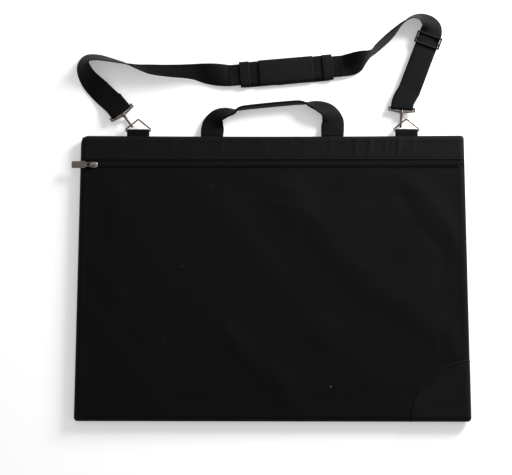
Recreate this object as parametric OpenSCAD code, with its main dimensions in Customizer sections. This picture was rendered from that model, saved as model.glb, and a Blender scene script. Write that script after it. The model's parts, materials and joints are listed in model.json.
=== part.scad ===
// Zipped portfolio case for A2 drawing boards, lying on its back.
// Its front faces +Z, +X is to the right and +Y points to the handle edge.
// The origin is the centre of the back's outer face.

/* [Case] */
// Width of the closed case between its side seams
case_w = 650; // [560:10:900]
// Height of the closed case between its bottom and top seams
case_h = 480; // [380:10:700]
// Thickness of the closed case
case_t = 18; // [16:1:28]
// Corner radius of the case, seen from the front
corner_r = 6; // [3:1:16]
// Thickness of the woven outer fabric
fabric_t = 1; // [0.6:0.1:1.2]
// Thickness of the stiffening board in the back
board_t = 2; // [1:0.5:3]
// Distance of the stiffening board's edge from the side seams
board_inset = 14; // [12:1:30]
// Thickness of the padding behind the front fabric
foam_t = 3; // [2:0.5:4]
// Thickness of the lining
lining_t = 0.5; // [0.3:0.1:0.8]

/* [Corner patch] */
// Radius of the quarter-round patch on the lower right corner
patch_r = 103; // [60:1:150]
// Thickness of the patch
patch_t = 0.8; // [0.5:0.1:1.2]
// Distance of the patch's straight edges from the side seams
patch_inset = 3; // [2:0.5:8]

/* [Zip] */
// Distance of the zip's centre line below the top seam
zip_drop = 51.5; // [45:0.5:80]
// Width of zip seen between the folded fabric edges
zip_gap = 16.5; // [14:0.5:24]
// Width of each half of the zip's tape
tape_w = 15; // [12:0.5:18]
// Thickness of the tape
tape_t = 0.6; // [0.4:0.1:0.8]
// Width of each coil of teeth
coil_w = 2.4; // [2:0.1:3]
// Height of the coils above the tape
coil_h = 1.75; // [1.4:0.05:2.2]
// Distance of the end stops from the side seams
stop_inset = 10; // [10:1:30]
// Length of the slider along the zip
slider_l = 13; // [11:0.5:16]
// Gap between the resting slider and the end stop beside it
slider_rest_gap = 5; // [1:0.5:20]
// Length of the pull tab from its hinge
pull_l = 37.5; // [28:0.5:50]
// Width of the pull tab
pull_w = 12; // [9:0.5:14]
// Thickness of the pull tab
pull_t = 1.6; // [1.2:0.1:2]

/* [Webbing] */
// Width of all the webbing
webbing_w = 38; // [30:1:50]
// Thickness of one layer of webbing
webbing_t = 1.8; // [1.2:0.1:2.2]

/* [Handle] */
// Distance between the middles of the handle's two ends
handle_span = 205; // [160:5:260]
// Height of the grip above the top seam
handle_rise = 54; // [45:1:90]
// Thickness of the webbing folded in half at the grip
grip_t = 4; // [3.6:0.1:5]

/* [Rings] */
// Distance of each ring tab's middle from the case's middle
tab_x = 228.5; // [190:0.5:260]
// Distance of the ring's straight side above the top seam
ring_reach = 9.5; // [8:0.5:14]
// Thickness of the ring wire
ring_wire = 2.6; // [2:0.1:3.2]
// Height of the ring's point above its straight side
ring_h = 21; // [18:0.5:30]

/* [Hooks] */
// Length of each hook from its base to its bow
hook_l = 24.5; // [24:0.5:34]
// Height of each hook
hook_h = 16; // [15:0.5:17.5]
// Thickness of the hook's arms
hook_arm = 3.2; // [2.6:0.1:3.6]
// Thickness of the hook from side to side
hook_t = 3; // [2.4:0.1:4]
// Thickness of the wire of the hook's webbing eye
eye_wire = 3.4; // [3:0.1:4]
// Diameter of the gate's pin
gate_pin_d = 1.5; // [1.2:0.1:1.8]

/* [Shoulder pad] */
// Length of the shoulder pad
pad_l = 160; // [120:5:170]
// Width of the shoulder pad
pad_w = 46; // [44:1:60]
// Thickness of the pad under the webbing
pad_base_t = 5.2; // [3:0.2:8]
// Thickness of the cover over the webbing
pad_cover_t = 2.5; // [1.5:0.1:4]
// Length of the cover in the middle of the pad
pad_cover_l = 93; // [60:1:110]
// Length of the keeper band at each end of the pad
pad_keeper_l = 17; // [10:1:24]

/* [Adjuster] */
// Length of the adjuster along the webbing
adjuster_l = 22; // [20:1:26]
// Thickness of the adjuster's bars
adjuster_bar = 3; // [2.4:0.1:3.4]

/* [Hidden] */
$fn = 48;

// Clearances
skin_gap = 0.2;   // between the layers of the case
soft_gap = 0.3;   // between soft or moving pieces
lay_gap = 0.05;   // between pieces sewn flat on each other

// Case
seam_z = case_t / 2;
top_y = case_h / 2;
far = case_w + case_h;
board_z = fabric_t + skin_gap;
lining_low = board_z + board_t + skin_gap;
foam_top = case_t - fabric_t - skin_gap;
lining_high = foam_top - foam_t - skin_gap;
lining_side = 2.7;

// Webbing caught in the top seam
tail_in = 6;
tail_t = 2 * webbing_t;

// Zip
zip_y = top_y - zip_drop;
chain_gap = 1.4;
tape_top = foam_top;
coil_z = tape_top + lay_gap;
coil_top = coil_z + coil_h;
stop_l = 2;
stop_x = case_w / 2 - stop_inset;
slider_plate = 1.2;
slider_floor = 1;
slider_wall = 1.2;
slider_z = coil_top + soft_gap;
slider_top = slider_z + slider_plate;
slider_in = chain_gap / 2 + coil_w + soft_gap;
slider_x = -(stop_x - stop_l - slider_rest_gap - slider_l / 2);
bail_w = 2.2;
bail_t = 1.4;
bail_in = 3.3;
pull_bar_r = 0.9;
pull_z = slider_top + 1.9;
pull_hole = 11;
pull_neck_l = 13;
pull_neck_w = 7;
pull_tilt = 3;

// Rings
ring_r = ring_wire / 2;
ring_y = top_y + ring_reach;
ring_bore_r = ring_r + soft_gap;
ring_half = webbing_w / 2 + 0.6 + ring_r;
ring_bend = 2;
bend_steps = 6;
wire_sides = 12;
tab_r = ring_bore_r + webbing_t;
ring_leg = tab_r + soft_gap;

// Hooks: local u runs from the webbing to the ring, w is up
hook_r = hook_h / 2;
hook_in_r = hook_r - hook_arm;
hook_bow_u = hook_l - hook_r;
hook_base = 4.5;
nose_u = 12.6;
gate_u = 2.9;
gate_w = 5.2;
gate_slope = 8.1;
gate_l = 10.7;
gate_t = 1.6;
gate_cheek = 0.7;
gate_cheek_gap = 0.2;
gate_pin_r = gate_pin_d / 2;
shank_r = 2;
shank_l = 6.2;
shank_head_r = 3.2;
shank_head_t = 1;
boss_r = 4;
boss_gap = 0.5;
eye_r = eye_wire / 2;
eye_u = 10.3;
eye_half = webbing_w / 2 + 0.8 + eye_r;
eye_waist = 1.7;
eye_neck = 14;
eye_shoulder = 4.4;
fold_r = eye_r + soft_gap + webbing_t / 2;

// Where each hook holds its ring: how far up the ring's left side, how far along the hook
// and which way the hook points
left_share = 0.4;
left_u = hook_l - hook_arm - 1.9;
left_turn = -53;
right_share = 0.54;
right_u = hook_l - hook_arm - 4.2;
right_turn = -95;

// Turns a heading in degrees into a direction on the floor
function dir(a) = [cos(a), sin(a)];
function ring_side(x, share) =
    [x - ring_half * (1 - share), ring_y + ring_leg + (ring_h - ring_leg) * share];
left_base = ring_side(-tab_x, left_share) - left_u * dir(left_turn);
right_base = ring_side(tab_x, right_share) - right_u * dir(right_turn);
left_eye = left_base - eye_u * dir(left_turn);
right_eye = right_base - eye_u * dir(right_turn);

// Shoulder pad
pad_reach = 117;
pad_at = [24, top_y + pad_reach];
pad_turn = 5;
pad_travel = 12;
pad_strap_lift = pad_base_t + soft_gap + 0.1;
pad_tunnel_w = webbing_w + 2 * soft_gap;
pad_tunnel_top = pad_strap_lift + webbing_t + soft_gap;
pad_spare = 7;
pad_straight = pad_l / 2 + pad_travel + pad_spare;

// Doubled webbing between the adjuster and the right hook
double_low = right_eye + [13.2, 31.2];
double_high = right_eye + [52.2, 133.2];
double_run = double_high - double_low;
double_l = norm(double_run);
double_turn = atan2(-double_run[1], -double_run[0]);
double_dir = dir(double_turn);
double_lift = 9.7;
return_lift = double_lift - webbing_t - soft_gap;
adjuster_at = double_high + (3.5 + adjuster_l / 2) * double_dir;
adjuster_bar_r = adjuster_bar / 2;
adjuster_bar_u = adjuster_l / 2 - adjuster_bar_r;
adjuster_bar_z = double_lift + webbing_t + soft_gap + adjuster_bar_r;
adjuster_half = webbing_w / 2 + 0.5;
adjuster_rail = 3;
fold_in_r = adjuster_bar_r + 0.2;
fold_out_r = fold_in_r + webbing_t;
tab_low_z = return_lift - soft_gap - fold_out_r;
tab_l = 25;

// Route of the strap: [x, y, tilt, lift], tilt raises the webbing's right edge and lift is
// the height of its left edge above the floor
left_route = [
    [-7.4, 9.4, 0, 9], [-18, 20.4, 0, 4.5], [-26.4, 28.2, 2, 2.3], [-36.6, 37.9, 14, 0.4],
    [-53.6, 54.4, 33, 0], [-63, 69.4, 44, 0], [-65.8, 82.8, 50, 0], [-59.3, 93, 54, 0],
    [-42.3, 94.4, 59, 0], [-27.3, 91.6, 63, 0], [-12.3, 87.9, 67, 0], [1.7, 84.3, 71, 0],
    [14.7, 80, 79, 0], [31.7, 75.2, 88, 0], [48.7, 72.1, 98, 0], [79.7, 69.6, 105, 0]
];
before_pad = [[-161, -5, 116, 0], [-135, -7.4, 142, 1.6]];
after_pad = [[118, 12, 152, 2.6], [132, 19, 116, 0.4]];
right_route = [
    [-53, 93.2, 93, 0], [-43, 102.6, 97, 0], [-26, 118.6, 99, 0], [-11.5, 132.6, 95, 0],
    [4, 148.6, 82, 0], [19, 158.6, 68, 0], [34.5, 160.2, 52, 0], [47, 153.2, 34, 3],
    [52.2, 143.2, 13, 7.2]
];
tail_l = 30;
left_tail = [[tail_l, 0], [22, 0.4], [14, 2], [7, 4.2]];
last_bend = [[2.8, 12.6, 0, 10.4]];
return_bend = [[2.8, 12.6, 0, 6.4]];

function shifted(at, knots) = [for (k = knots) [at[0] + k[0], at[1] + k[1], k[2], k[3]]];
function pad_point(s) = concat(pad_at + s * dir(pad_turn), [180, pad_strap_lift]);
function double_point(s, lift) = concat(double_high + s * double_dir, [0, lift]);
straight_guard = 3;
strap_knots = concat(
    [concat(left_eye, [0, seam_z + fold_r - webbing_t / 2])],
    shifted(left_eye, left_route),
    shifted(pad_at, before_pad),
    [for (s = [-pad_straight, 6 - pad_straight, pad_straight - 6, pad_straight]) pad_point(s)],
    shifted(pad_at, after_pad),
    shifted(right_eye, right_route),
    [for (s = [0, straight_guard, double_l - straight_guard, double_l])
        double_point(s, double_lift)],
    shifted(right_eye, last_bend),
    [concat(right_eye, [0, seam_z + fold_r - webbing_t / 2])]
);
return_knots = concat(
    [concat(right_eye, [0, seam_z - fold_r - webbing_t / 2])],
    shifted(right_eye, return_bend),
    [for (s = [double_l, double_l - straight_guard, 8 + straight_guard, 8])
        double_point(s, return_lift)]
);

// Handle: [x, y, tilt, lift, width, thickness] from the left end to the right one
handle_x = handle_span / 2;
handle_start = top_y + 0.7;
handle_lift = seam_z - webbing_t / 2;
grip_w = webbing_w / 2;
grip_lift = 0.4;
handle_left = [
    [-handle_x, handle_start, 0, handle_lift, webbing_w, webbing_t],
    [-handle_x, top_y + 12, 0, handle_lift - 2, webbing_w, webbing_t],
    [-handle_x + 1.5, top_y + handle_rise * 0.43, 8, 3, webbing_w * 0.97, 2],
    [-handle_x + 9, top_y + handle_rise * 0.66, 28, 1.2, webbing_w * 0.84, 2.8],
    [-handle_x + 22, top_y + handle_rise * 0.78, 46, 0.6, webbing_w * 0.72, 3.6],
    [-handle_x + 36, top_y + handle_rise * 0.81, 55, 0.5, grip_w + 4, grip_t],
    [-handle_x + 45, top_y + handle_rise * 0.89, 84, grip_lift, grip_w, grip_t],
    [-handle_x + 56, top_y + handle_rise * 0.94, 90, grip_lift, grip_w, grip_t]
];
handle_right = [
    [handle_x - 62, top_y + handle_rise * 1.1, 90, grip_lift, grip_w, grip_t],
    [handle_x - 50, top_y + handle_rise * 1.09, 84, grip_lift, grip_w, grip_t],
    [handle_x - 36, top_y + handle_rise * 1.05, 60, 0.5, grip_w + 4, grip_t],
    [handle_x - 22, top_y + handle_rise * 0.98, 44, 0.8, webbing_w * 0.74, 3.4],
    [handle_x - 7, top_y + handle_rise * 0.82, 25, 1.5, webbing_w * 0.88, 2.6],
    [handle_x + 0.8, top_y + handle_rise * 0.54, 7, 3.2, webbing_w * 0.98, 2],
    [handle_x, top_y + 16, 0, handle_lift - 2, webbing_w, webbing_t],
    [handle_x, handle_start, 0, handle_lift, webbing_w, webbing_t]
];

// ---- Curves and ribbons ----

// Slope of a route at knot i, per millimetre of its length on the floor
function run(a, b) = norm([b[0] - a[0], b[1] - a[1]]);
function slope(k, i) =
    let (a = max(i - 1, 0), b = min(i + 1, len(k) - 1), j = min(max(i, 1), len(k) - 2))
    (k[b] - k[a]) / (i == a || i == b ? run(k[a], k[b]) : run(k[a], k[j]) + run(k[j], k[b]));

// A point at share u between knots i and i + 1
function blend(k, i, u) =
    let (l = run(k[i], k[i + 1]), m = slope(k, i) * l, n = slope(k, i + 1) * l)
    k[i] * (2 * u^3 - 3 * u^2 + 1) + m * (u^3 - 2 * u^2 + u)
        + k[i + 1] * (3 * u^2 - 2 * u^3) + n * (u^3 - u^2);
function smooth(k, steps) =
    concat([for (i = [0 : len(k) - 2], j = [0 : steps - 1]) blend(k, i, j / steps)],
        [k[len(k) - 1]]);
function heading(p, i) =
    let (a = p[max(i - 1, 0)], b = p[min(i + 1, len(p) - 1)])
    atan2(b[1] - a[1], b[0] - a[0]);

// The four corners of a ribbon's section. pitch 0 runs along the heading, 180 runs back
function section(at, turn, tilt, pitch, w, t) =
    let (
        side = [-sin(turn), cos(turn), 0],
        up = [-cos(turn) * sin(pitch), -sin(turn) * sin(pitch), cos(pitch)],
        across = (side * cos(tilt) + [0, 0, -sin(tilt)]) * w / 2,
        through = (side * sin(tilt) + up * cos(tilt)) * t / 2
    )
    [at + across + through, at - across + through, at - across - through,
        at + across - through];

// Height of a ribbon's middle, standing on its left edge at a height of lift
function stand(tilt, lift, w = webbing_w, t = webbing_t) =
    max(lift, 0) + w / 2 * abs(sin(tilt)) + t / 2 * abs(cos(tilt));

module ribbon(sections) {
    n = len(sections);
    sides = [for (k = [0 : n - 2], i = [0 : 3])
        let (j = (i + 1) % 4, a = 4 * k)
        each [[a + i, a + 4 + i, a + 4 + j], [a + i, a + 4 + j, a + j]]];
    ends = [[0, 1, 2, 3], [4 * n - 1, 4 * n - 2, 4 * n - 3, 4 * n - 4]];
    polyhedron([for (s = sections) each s], concat(ends, sides));
}

// A bend of a wire at corner b, as [x, y, heading] for each of its steps
function bend(a, b, c, r) =
    let (in = heading([a, b, c], 0), turn = (heading([a, b, c], 2) - in + 540) % 360 - 180,
        start = b - r * tan(turn / 2) * dir(in), middle = start + r * dir(in + 90))
    [for (i = [0 : bend_steps])
        let (h = in + turn * i / bend_steps) concat(middle - r * dir(h + 90), [h])];

// A closed loop of wire through corners on the floor, taken anticlockwise
module wire_loop(corners, r, bend_r) {
    n = len(corners);
    path = [for (i = [0 : n - 1])
        each bend(corners[i], corners[(i + 1) % n], corners[(i + 2) % n], bend_r)];
    last = len(path);
    points = [for (p = path, j = [0 : wire_sides - 1])
        let (a = 360 * j / wire_sides, out = dir(p[2] - 90) * r * cos(a))
        [p[0] + out[0], p[1] + out[1], r * sin(a)]];
    polyhedron(points, [for (i = [0 : last - 1], j = [0 : wire_sides - 1])
        let (k = (j + 1) % wire_sides, a = i * wire_sides, b = (i + 1) % last * wire_sides)
        each [[a + j, b + k, b + j], [a + j, a + k, b + k]]]);
}

module rounded_square(w, h, r) {
    square([w - 2 * r, h], center = true);
    square([w, h - 2 * r], center = true);
    for (x = [-1, 1], y = [-1, 1])
        translate([x * (w / 2 - r), y * (h / 2 - r)]) circle(r);
}

// ---- Case ----

module stadium(w, t) {
    square([w - t, t], center = true);
    for (x = [-1, 1]) translate([x * (w - t) / 2, 0]) circle(t / 2);
}

// The case's outer form, taken in by side all round and between two heights
module pillow(side, low, high) {
    t = high - low;
    intersection() {
        translate([0, 0, low - 1]) linear_extrude(t + 2)
            rounded_square(case_w - 2 * side, case_h - 2 * side, max(corner_r - side, 1));
        translate([0, 0, low + t / 2]) rotate([90, 0, 0])
            linear_extrude(case_h, center = true) stadium(case_w - 2 * side, t);
        translate([0, 0, low + t / 2]) rotate([90, 0, 90])
            linear_extrude(case_w, center = true) stadium(case_h - 2 * side, t);
    }
}

module shell(side, low, high, wall) {
    difference() {
        pillow(side, low, high);
        pillow(side + wall, low + wall, high - wall);
    }
}

module face_shell() {
    shell(0, 0, case_t, fabric_t);
}

module lining_shell() {
    shell(lining_side, lining_low, lining_high, lining_t);
}

// All of space in front of the seam, between two heights of the case
module in_front(low_y = -far, high_y = far) {
    translate([-far, low_y, seam_z + soft_gap / 2]) cube([2 * far, high_y - low_y, far]);
}

module behind() {
    translate([-far, -far, seam_z - soft_gap / 2 - far]) cube([2 * far, 2 * far, far]);
}

// Slots in the top seam for the ends of the webbing
module seam_slots() {
    for (x = [-tab_x, -handle_span / 2, handle_span / 2, tab_x])
        translate([x - webbing_w / 2 - soft_gap, top_y - tail_in - soft_gap,
            seam_z - tail_t / 2 - skin_gap])
            cube([webbing_w + 2 * soft_gap, tail_in + 2, tail_t + 2 * skin_gap]);
}

module back_panel() {
    color("#1b1b1d") difference() {
        intersection() {
            face_shell();
            behind();
        }
        seam_slots();
    }
}

module back_board() {
    color("#6d6d70") translate([0, 0, board_z]) linear_extrude(board_t)
        rounded_square(case_w - 2 * board_inset, case_h - 2 * board_inset, corner_r);
}

module back_lining() {
    color("#2c2c30") difference() {
        intersection() {
            lining_shell();
            behind();
        }
        seam_slots();
    }
}

module front_panel() {
    color("#1c1c1f") intersection() {
        face_shell();
        in_front(high_y = zip_y - zip_gap / 2);
    }
}

module top_band() {
    color("#202023") difference() {
        intersection() {
            face_shell();
            in_front(low_y = zip_y + zip_gap / 2);
        }
        seam_slots();
    }
}

module front_foam() {
    side = fabric_t + skin_gap;
    reach = chain_gap / 2 + tape_w + soft_gap;
    color("#3d3d40") difference() {
        intersection() {
            pillow(side, side, foam_top);
            in_front();
        }
        pillow(lining_side - skin_gap, lining_low - skin_gap, lining_high + skin_gap);
        translate([-far, zip_y - reach, 0]) cube([2 * far, 2 * reach, case_t]);
        seam_slots();
    }
}

module front_lining() {
    color("#2c2c30") difference() {
        intersection() {
            lining_shell();
            in_front();
        }
        translate([-far, zip_y - zip_gap / 2, seam_z]) cube([2 * far, zip_gap, case_t]);
        seam_slots();
    }
}

module corner_patch() {
    color("#222225") intersection() {
        shell(-patch_t - lay_gap, -patch_t - lay_gap, case_t + patch_t + lay_gap, patch_t);
        in_front();
        linear_extrude(2 * case_t)
            rounded_square(case_w - 2 * patch_inset, case_h - 2 * patch_inset, corner_r);
        translate([case_w / 2, -case_h / 2, 0]) cylinder(r = patch_r, h = 2 * case_t, $fn = 96);
    }
}

// ---- Zip ----

// side 1 is the half of the zip nearer the top seam. The ends turn down at the side seams
module zip_tape(side) {
    inset = fabric_t + skin_gap;
    near = zip_y + side * chain_gap / 2;
    away = near + side * tape_w;
    knee = case_w / 2 - seam_z;
    color("#19191b") difference() {
        intersection() {
            shell(inset, inset, tape_top, tape_t);
            in_front(min(near, away), max(near, away));
        }
        for (end = [-1, 1]) translate([end * knee - lay_gap / 2, -far, 0])
            cube([lay_gap, 2 * far, case_t]);
    }
}

module zip_coil(side) {
    color("#222224") translate([0, zip_y + side * (chain_gap + coil_w) / 2, coil_z])
        rotate([90, 0, 90]) linear_extrude(2 * (stop_x - stop_l - skin_gap), center = true)
            difference() {
                union() {
                    translate([-coil_w / 2, 0]) square([coil_w, coil_h - coil_w / 2]);
                    translate([0, coil_h - coil_w / 2]) circle(coil_w / 2);
                }
                translate([-coil_w, -coil_w]) square([2 * coil_w, coil_w]);
            }
}

module zip_stops() {
    w = chain_gap + 2 * coil_w;
    color("#b9bbc0") for (side = [-1, 1])
        translate([side * (stop_x - stop_l / 2), zip_y, coil_z + coil_h / 2])
            cube([stop_l, w, coil_h], center = true);
}

module zip_slider() {
    floor_z = tape_top - tape_t - soft_gap - slider_floor;
    lip_z = tape_top + soft_gap;
    outer = slider_in + slider_wall;
    bail_out = bail_in + bail_t;
    bail_h = pull_z - slider_top + pull_bar_r + 0.6 + bail_t;
    color("#c3c5ca") translate([slider_x, zip_y, 0]) {
        translate([0, 0, slider_z]) linear_extrude(slider_plate)
            rounded_square(slider_l, 2 * outer, 2.5);
        translate([0, 0, floor_z]) linear_extrude(slider_floor)
            rounded_square(slider_l, 2 * outer - 1, 2.5);
        for (side = [-1, 1])
            translate([-slider_l / 2 + 2.5, side > 0 ? slider_in : -outer, lip_z])
                cube([slider_l - 5, slider_wall, slider_z - lip_z + slider_plate / 2]);
        translate([slider_l / 2 - 4.5, -0.4, floor_z + slider_floor / 2])
            cube([3, 0.8, slider_z - floor_z]);
        translate([0, 0, slider_top - 0.2]) rotate([90, 0, 0])
            linear_extrude(bail_w, center = true) difference() {
                translate([-bail_out, 0]) square([2 * bail_out, bail_h + 0.2]);
                translate([-bail_in, -1]) square([2 * bail_in, bail_h + 1.2 - bail_t]);
            }
    }
}

module zip_pull() {
    neck = 2 * pull_bar_r;
    color("#cfd0d3") translate([slider_x, zip_y, pull_z]) rotate([0, -pull_tilt, 0]) {
        rotate([90, 0, 0]) cylinder(r = pull_bar_r, h = pull_neck_w, center = true);
        translate([0, 0, -pull_t / 2]) linear_extrude(pull_t) difference() {
            union() {
                translate([-pull_neck_l / 2 - 0.5, 0])
                    square([pull_neck_l + 1, pull_neck_w], center = true);
                translate([-(pull_neck_l + pull_l) / 2, 0])
                    rounded_square(pull_l - pull_neck_l, pull_w, 2.5);
            }
            translate([-neck / 2 - pull_hole / 2, 0])
                square([pull_hole, bail_w + 1.2], center = true);
            translate([0.9, -pull_w / 2]) square([2, pull_w]);
        }
    }
}

// ---- Handle ----

module handle_ends() {
    color("#252528") for (x = [-handle_x, handle_x])
        translate([x - webbing_w / 2, top_y - tail_in, seam_z - webbing_t / 2])
            cube([webbing_w, tail_in + soft_gap, webbing_t]);
}

module handle_webbing() {
    route = smooth(concat(handle_left, handle_right), 4);
    last = len(route) - 1;
    color("#28282b") ribbon([for (i = [0 : last])
        let (p = route[i], turn = i == 0 ? 90 : i == last ? -90 : heading(route, i),
            tilt = max(p[2], 0))
        section([p[0], p[1], stand(tilt, p[3], p[4], p[5])], turn, tilt, 0, p[4], p[5])]);
}

// ---- Rings ----

module ring_tab(x) {
    start = top_y - tail_in;
    knee = top_y + 1;
    color("#2a2a2d") translate([x, 0, seam_z]) rotate([90, 0, 90])
        linear_extrude(webbing_w, center = true) difference() {
            union() {
                polygon([[start, -tail_t / 2], [knee, -tail_t / 2], [ring_y, -tab_r],
                    [ring_y, tab_r], [knee, tail_t / 2], [start, tail_t / 2]]);
                translate([ring_y, 0]) circle(tab_r);
            }
            translate([ring_y, 0]) circle(ring_bore_r);
        }
}

module ring(x) {
    color("#9a9ca2") translate([x, ring_y, seam_z])
        wire_loop([[-ring_half, 0], [ring_half, 0], [ring_half, ring_leg], [0, ring_h],
            [-ring_half, ring_leg]], ring_r, ring_bend);
}

// ---- Hooks ----

// Puts a hook's own frame on its ring
module at_hook(base, turn) {
    translate([base[0], base[1], seam_z]) rotate([0, 0, turn]) children();
}

module hook_outline() {
    difference() {
        union() {
            polygon([[0, -4], [3, -hook_r], [hook_bow_u, -hook_r], [hook_bow_u, hook_r],
                [3, hook_r], [0, 4]]);
            translate([hook_bow_u, 0]) circle(hook_r);
        }
        translate([hook_base, -hook_in_r]) square([hook_bow_u - hook_base, 2 * hook_in_r]);
        translate([hook_bow_u, 0]) circle(hook_in_r);
        translate([hook_base, 0]) square([nose_u - hook_base, hook_r + 1]);
        translate([gate_u, gate_w]) circle(gate_pin_r + 0.01);
    }
}

module hook(base, turn) {
    color("#b5b7bd") at_hook(base, turn) {
        rotate([90, 0, 0]) linear_extrude(hook_t, center = true) hook_outline();
        rotate([0, -90, 0]) translate([0, 0, -1]) cylinder(r = shank_r, h = shank_l + 1);
        rotate([0, -90, 0]) translate([0, 0, shank_l - shank_head_t])
            cylinder(r = shank_head_r, h = shank_head_t);
    }
}

module hook_gate(base, turn) {
    body = hook_t + 2 * gate_cheek_gap;
    full = body + 2 * gate_cheek;
    color("#a9abb1") at_hook(base, turn)
        translate([gate_u, 0, gate_w]) rotate([0, gate_slope, 0]) difference() {
            union() {
                rotate([90, 0, 0]) cylinder(r = 1.9, h = full, center = true);
                translate([0, -full / 2, -gate_t / 2]) cube([5, full, gate_t]);
                translate([3.2, -hook_t / 2, -gate_t / 2]) cube([gate_l - 3.2, hook_t, gate_t]);
            }
            translate([-3, -body / 2, -3]) cube([6.2, body, 6]);
            rotate([90, 0, 0]) cylinder(r = gate_pin_r + 0.1, h = full + 1, center = true);
        }
}

module gate_pin(base, turn) {
    l = hook_t + 2 * (gate_cheek_gap + gate_cheek) + 0.2;
    color("#8f9197") at_hook(base, turn) translate([gate_u, 0, gate_w])
        rotate([90, 0, 0]) cylinder(r = gate_pin_r, h = l, center = true);
}

module hook_eye(base, turn) {
    wide = 2 * (eye_half + eye_r);
    color("#b5b7bd") at_hook(base, turn) difference() {
        union() {
            translate([0, 0, -eye_r]) linear_extrude(2 * eye_r) difference() {
                polygon([[-eye_waist, -eye_neck / 2], [-eye_waist, eye_neck / 2],
                    [-eye_shoulder, wide / 2], [-eye_u, wide / 2], [-eye_u, -wide / 2],
                    [-eye_shoulder, -wide / 2]]);
                polygon([[-eye_waist - 2 * eye_r, -eye_neck / 2],
                    [-eye_waist - 2 * eye_r, eye_neck / 2],
                    [-eye_shoulder - eye_r, eye_half - eye_r],
                    [-eye_u - 1, eye_half - eye_r], [-eye_u - 1, eye_r - eye_half],
                    [-eye_shoulder - eye_r, eye_r - eye_half]]);
            }
            translate([-eye_u, 0, 0]) rotate([90, 0, 0])
                cylinder(r = eye_r, h = wide, center = true);
            rotate([0, -90, 0]) translate([0, 0, boss_gap])
                cylinder(r = boss_r, h = shank_l - shank_head_t - soft_gap - boss_gap);
        }
        rotate([0, -90, 0]) cylinder(r = shank_r + skin_gap, h = eye_u - eye_r - 1);
    }
}

// ---- Strap ----

// Sections of the fold round an eye's bar, from pitch a to pitch b
function fold(eye, turn, a, b) =
    [for (i = [1 : 9])
        let (p = a + (b - a) * i / 10, h = dir(turn))
        section([eye[0] - h[0] * sin(p) * fold_r, eye[1] - h[1] * sin(p) * fold_r,
            seam_z + cos(p) * fold_r], turn, 0, p, webbing_w, webbing_t)];

function laid(route, first, last, pitch) =
    [for (i = [0 : len(route) - 1])
        let (p = route[i],
            turn = i == 0 ? first : i == len(route) - 1 ? last : heading(route, i) - pitch)
        section([p[0], p[1], stand(p[2], p[3])], turn, p[2], pitch, webbing_w, webbing_t)];

module strap_webbing() {
    away = left_turn + 180;
    tail = concat(left_tail, [[0, seam_z - fold_r - webbing_t / 2]]);
    color("#29292c") ribbon(concat(
        [for (p = tail)
            section([left_eye[0] + p[0] * cos(away), left_eye[1] + p[0] * sin(away),
                p[1] + webbing_t / 2], away, 0, 180, webbing_w, webbing_t)],
        fold(left_eye, away, 180, 0),
        laid(smooth(strap_knots, 3), away, right_turn, 0),
        fold(right_eye, right_turn, 0, -180),
        laid(smooth(return_knots, 3), right_turn, double_turn, -180)));
}

module at_adjuster() {
    translate([adjuster_at[0], adjuster_at[1], 0]) rotate([0, 0, double_turn]) children();
}

module adjuster() {
    reach = adjuster_half + adjuster_rail;
    bars = [[-adjuster_bar_u, adjuster_bar_z], [0, tab_low_z], [adjuster_bar_u, adjuster_bar_z]];
    color("#1a1a1b") at_adjuster() rotate([90, 0, 0]) {
        for (b = bars) translate([b[0], b[1], 0])
            cylinder(r = adjuster_bar_r, h = 2 * reach, center = true);
        for (side = [-1, 1])
            translate([0, 0, side * (adjuster_half + adjuster_rail / 2)])
                linear_extrude(adjuster_rail, center = true) polygon([
                    bars[0] + [-adjuster_bar_r, 0], bars[0] + [0, adjuster_bar_r],
                    bars[2] + [0, adjuster_bar_r], bars[2] + [adjuster_bar_r, 0],
                    bars[1] + [adjuster_bar_r, -adjuster_bar_r / 2],
                    bars[1] + [-adjuster_bar_r, -adjuster_bar_r / 2]]);
    }
}

module adjuster_tab() {
    top = return_lift - soft_gap;
    color("#29292c") at_adjuster() rotate([90, 0, 0])
        linear_extrude(webbing_w, center = true) difference() {
            union() {
                translate([0, tab_low_z]) circle(fold_out_r);
                translate([0, top - 2 * webbing_t]) square([tab_l, 2 * webbing_t]);
            }
            translate([0, tab_low_z]) circle(fold_in_r);
        }
}

// ---- Shoulder pad ----

module at_pad() {
    translate([pad_at[0], pad_at[1], 0]) rotate([0, 0, pad_turn]) children();
}

module pad_base() {
    color("#1e1e22") at_pad() linear_extrude(pad_base_t) rounded_square(pad_l, pad_w, 8);
}

// A band over the webbing, sewn to the base along both edges
module pad_arch(l) {
    low = pad_base_t + lay_gap;
    rotate([90, 0, 90]) linear_extrude(l, center = true) difference() {
        translate([-pad_w / 2, low]) square([pad_w, pad_tunnel_top + pad_cover_t - low]);
        translate([-pad_tunnel_w / 2, 0]) square([pad_tunnel_w, pad_tunnel_top]);
    }
}

module pad_cover() {
    color("#232327") at_pad() pad_arch(pad_cover_l);
}

module pad_keepers() {
    color("#1f1f23") at_pad() for (side = [-1, 1])
        translate([side * (pad_l - pad_keeper_l) / 2, 0, 0]) pad_arch(pad_keeper_l);
}

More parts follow.
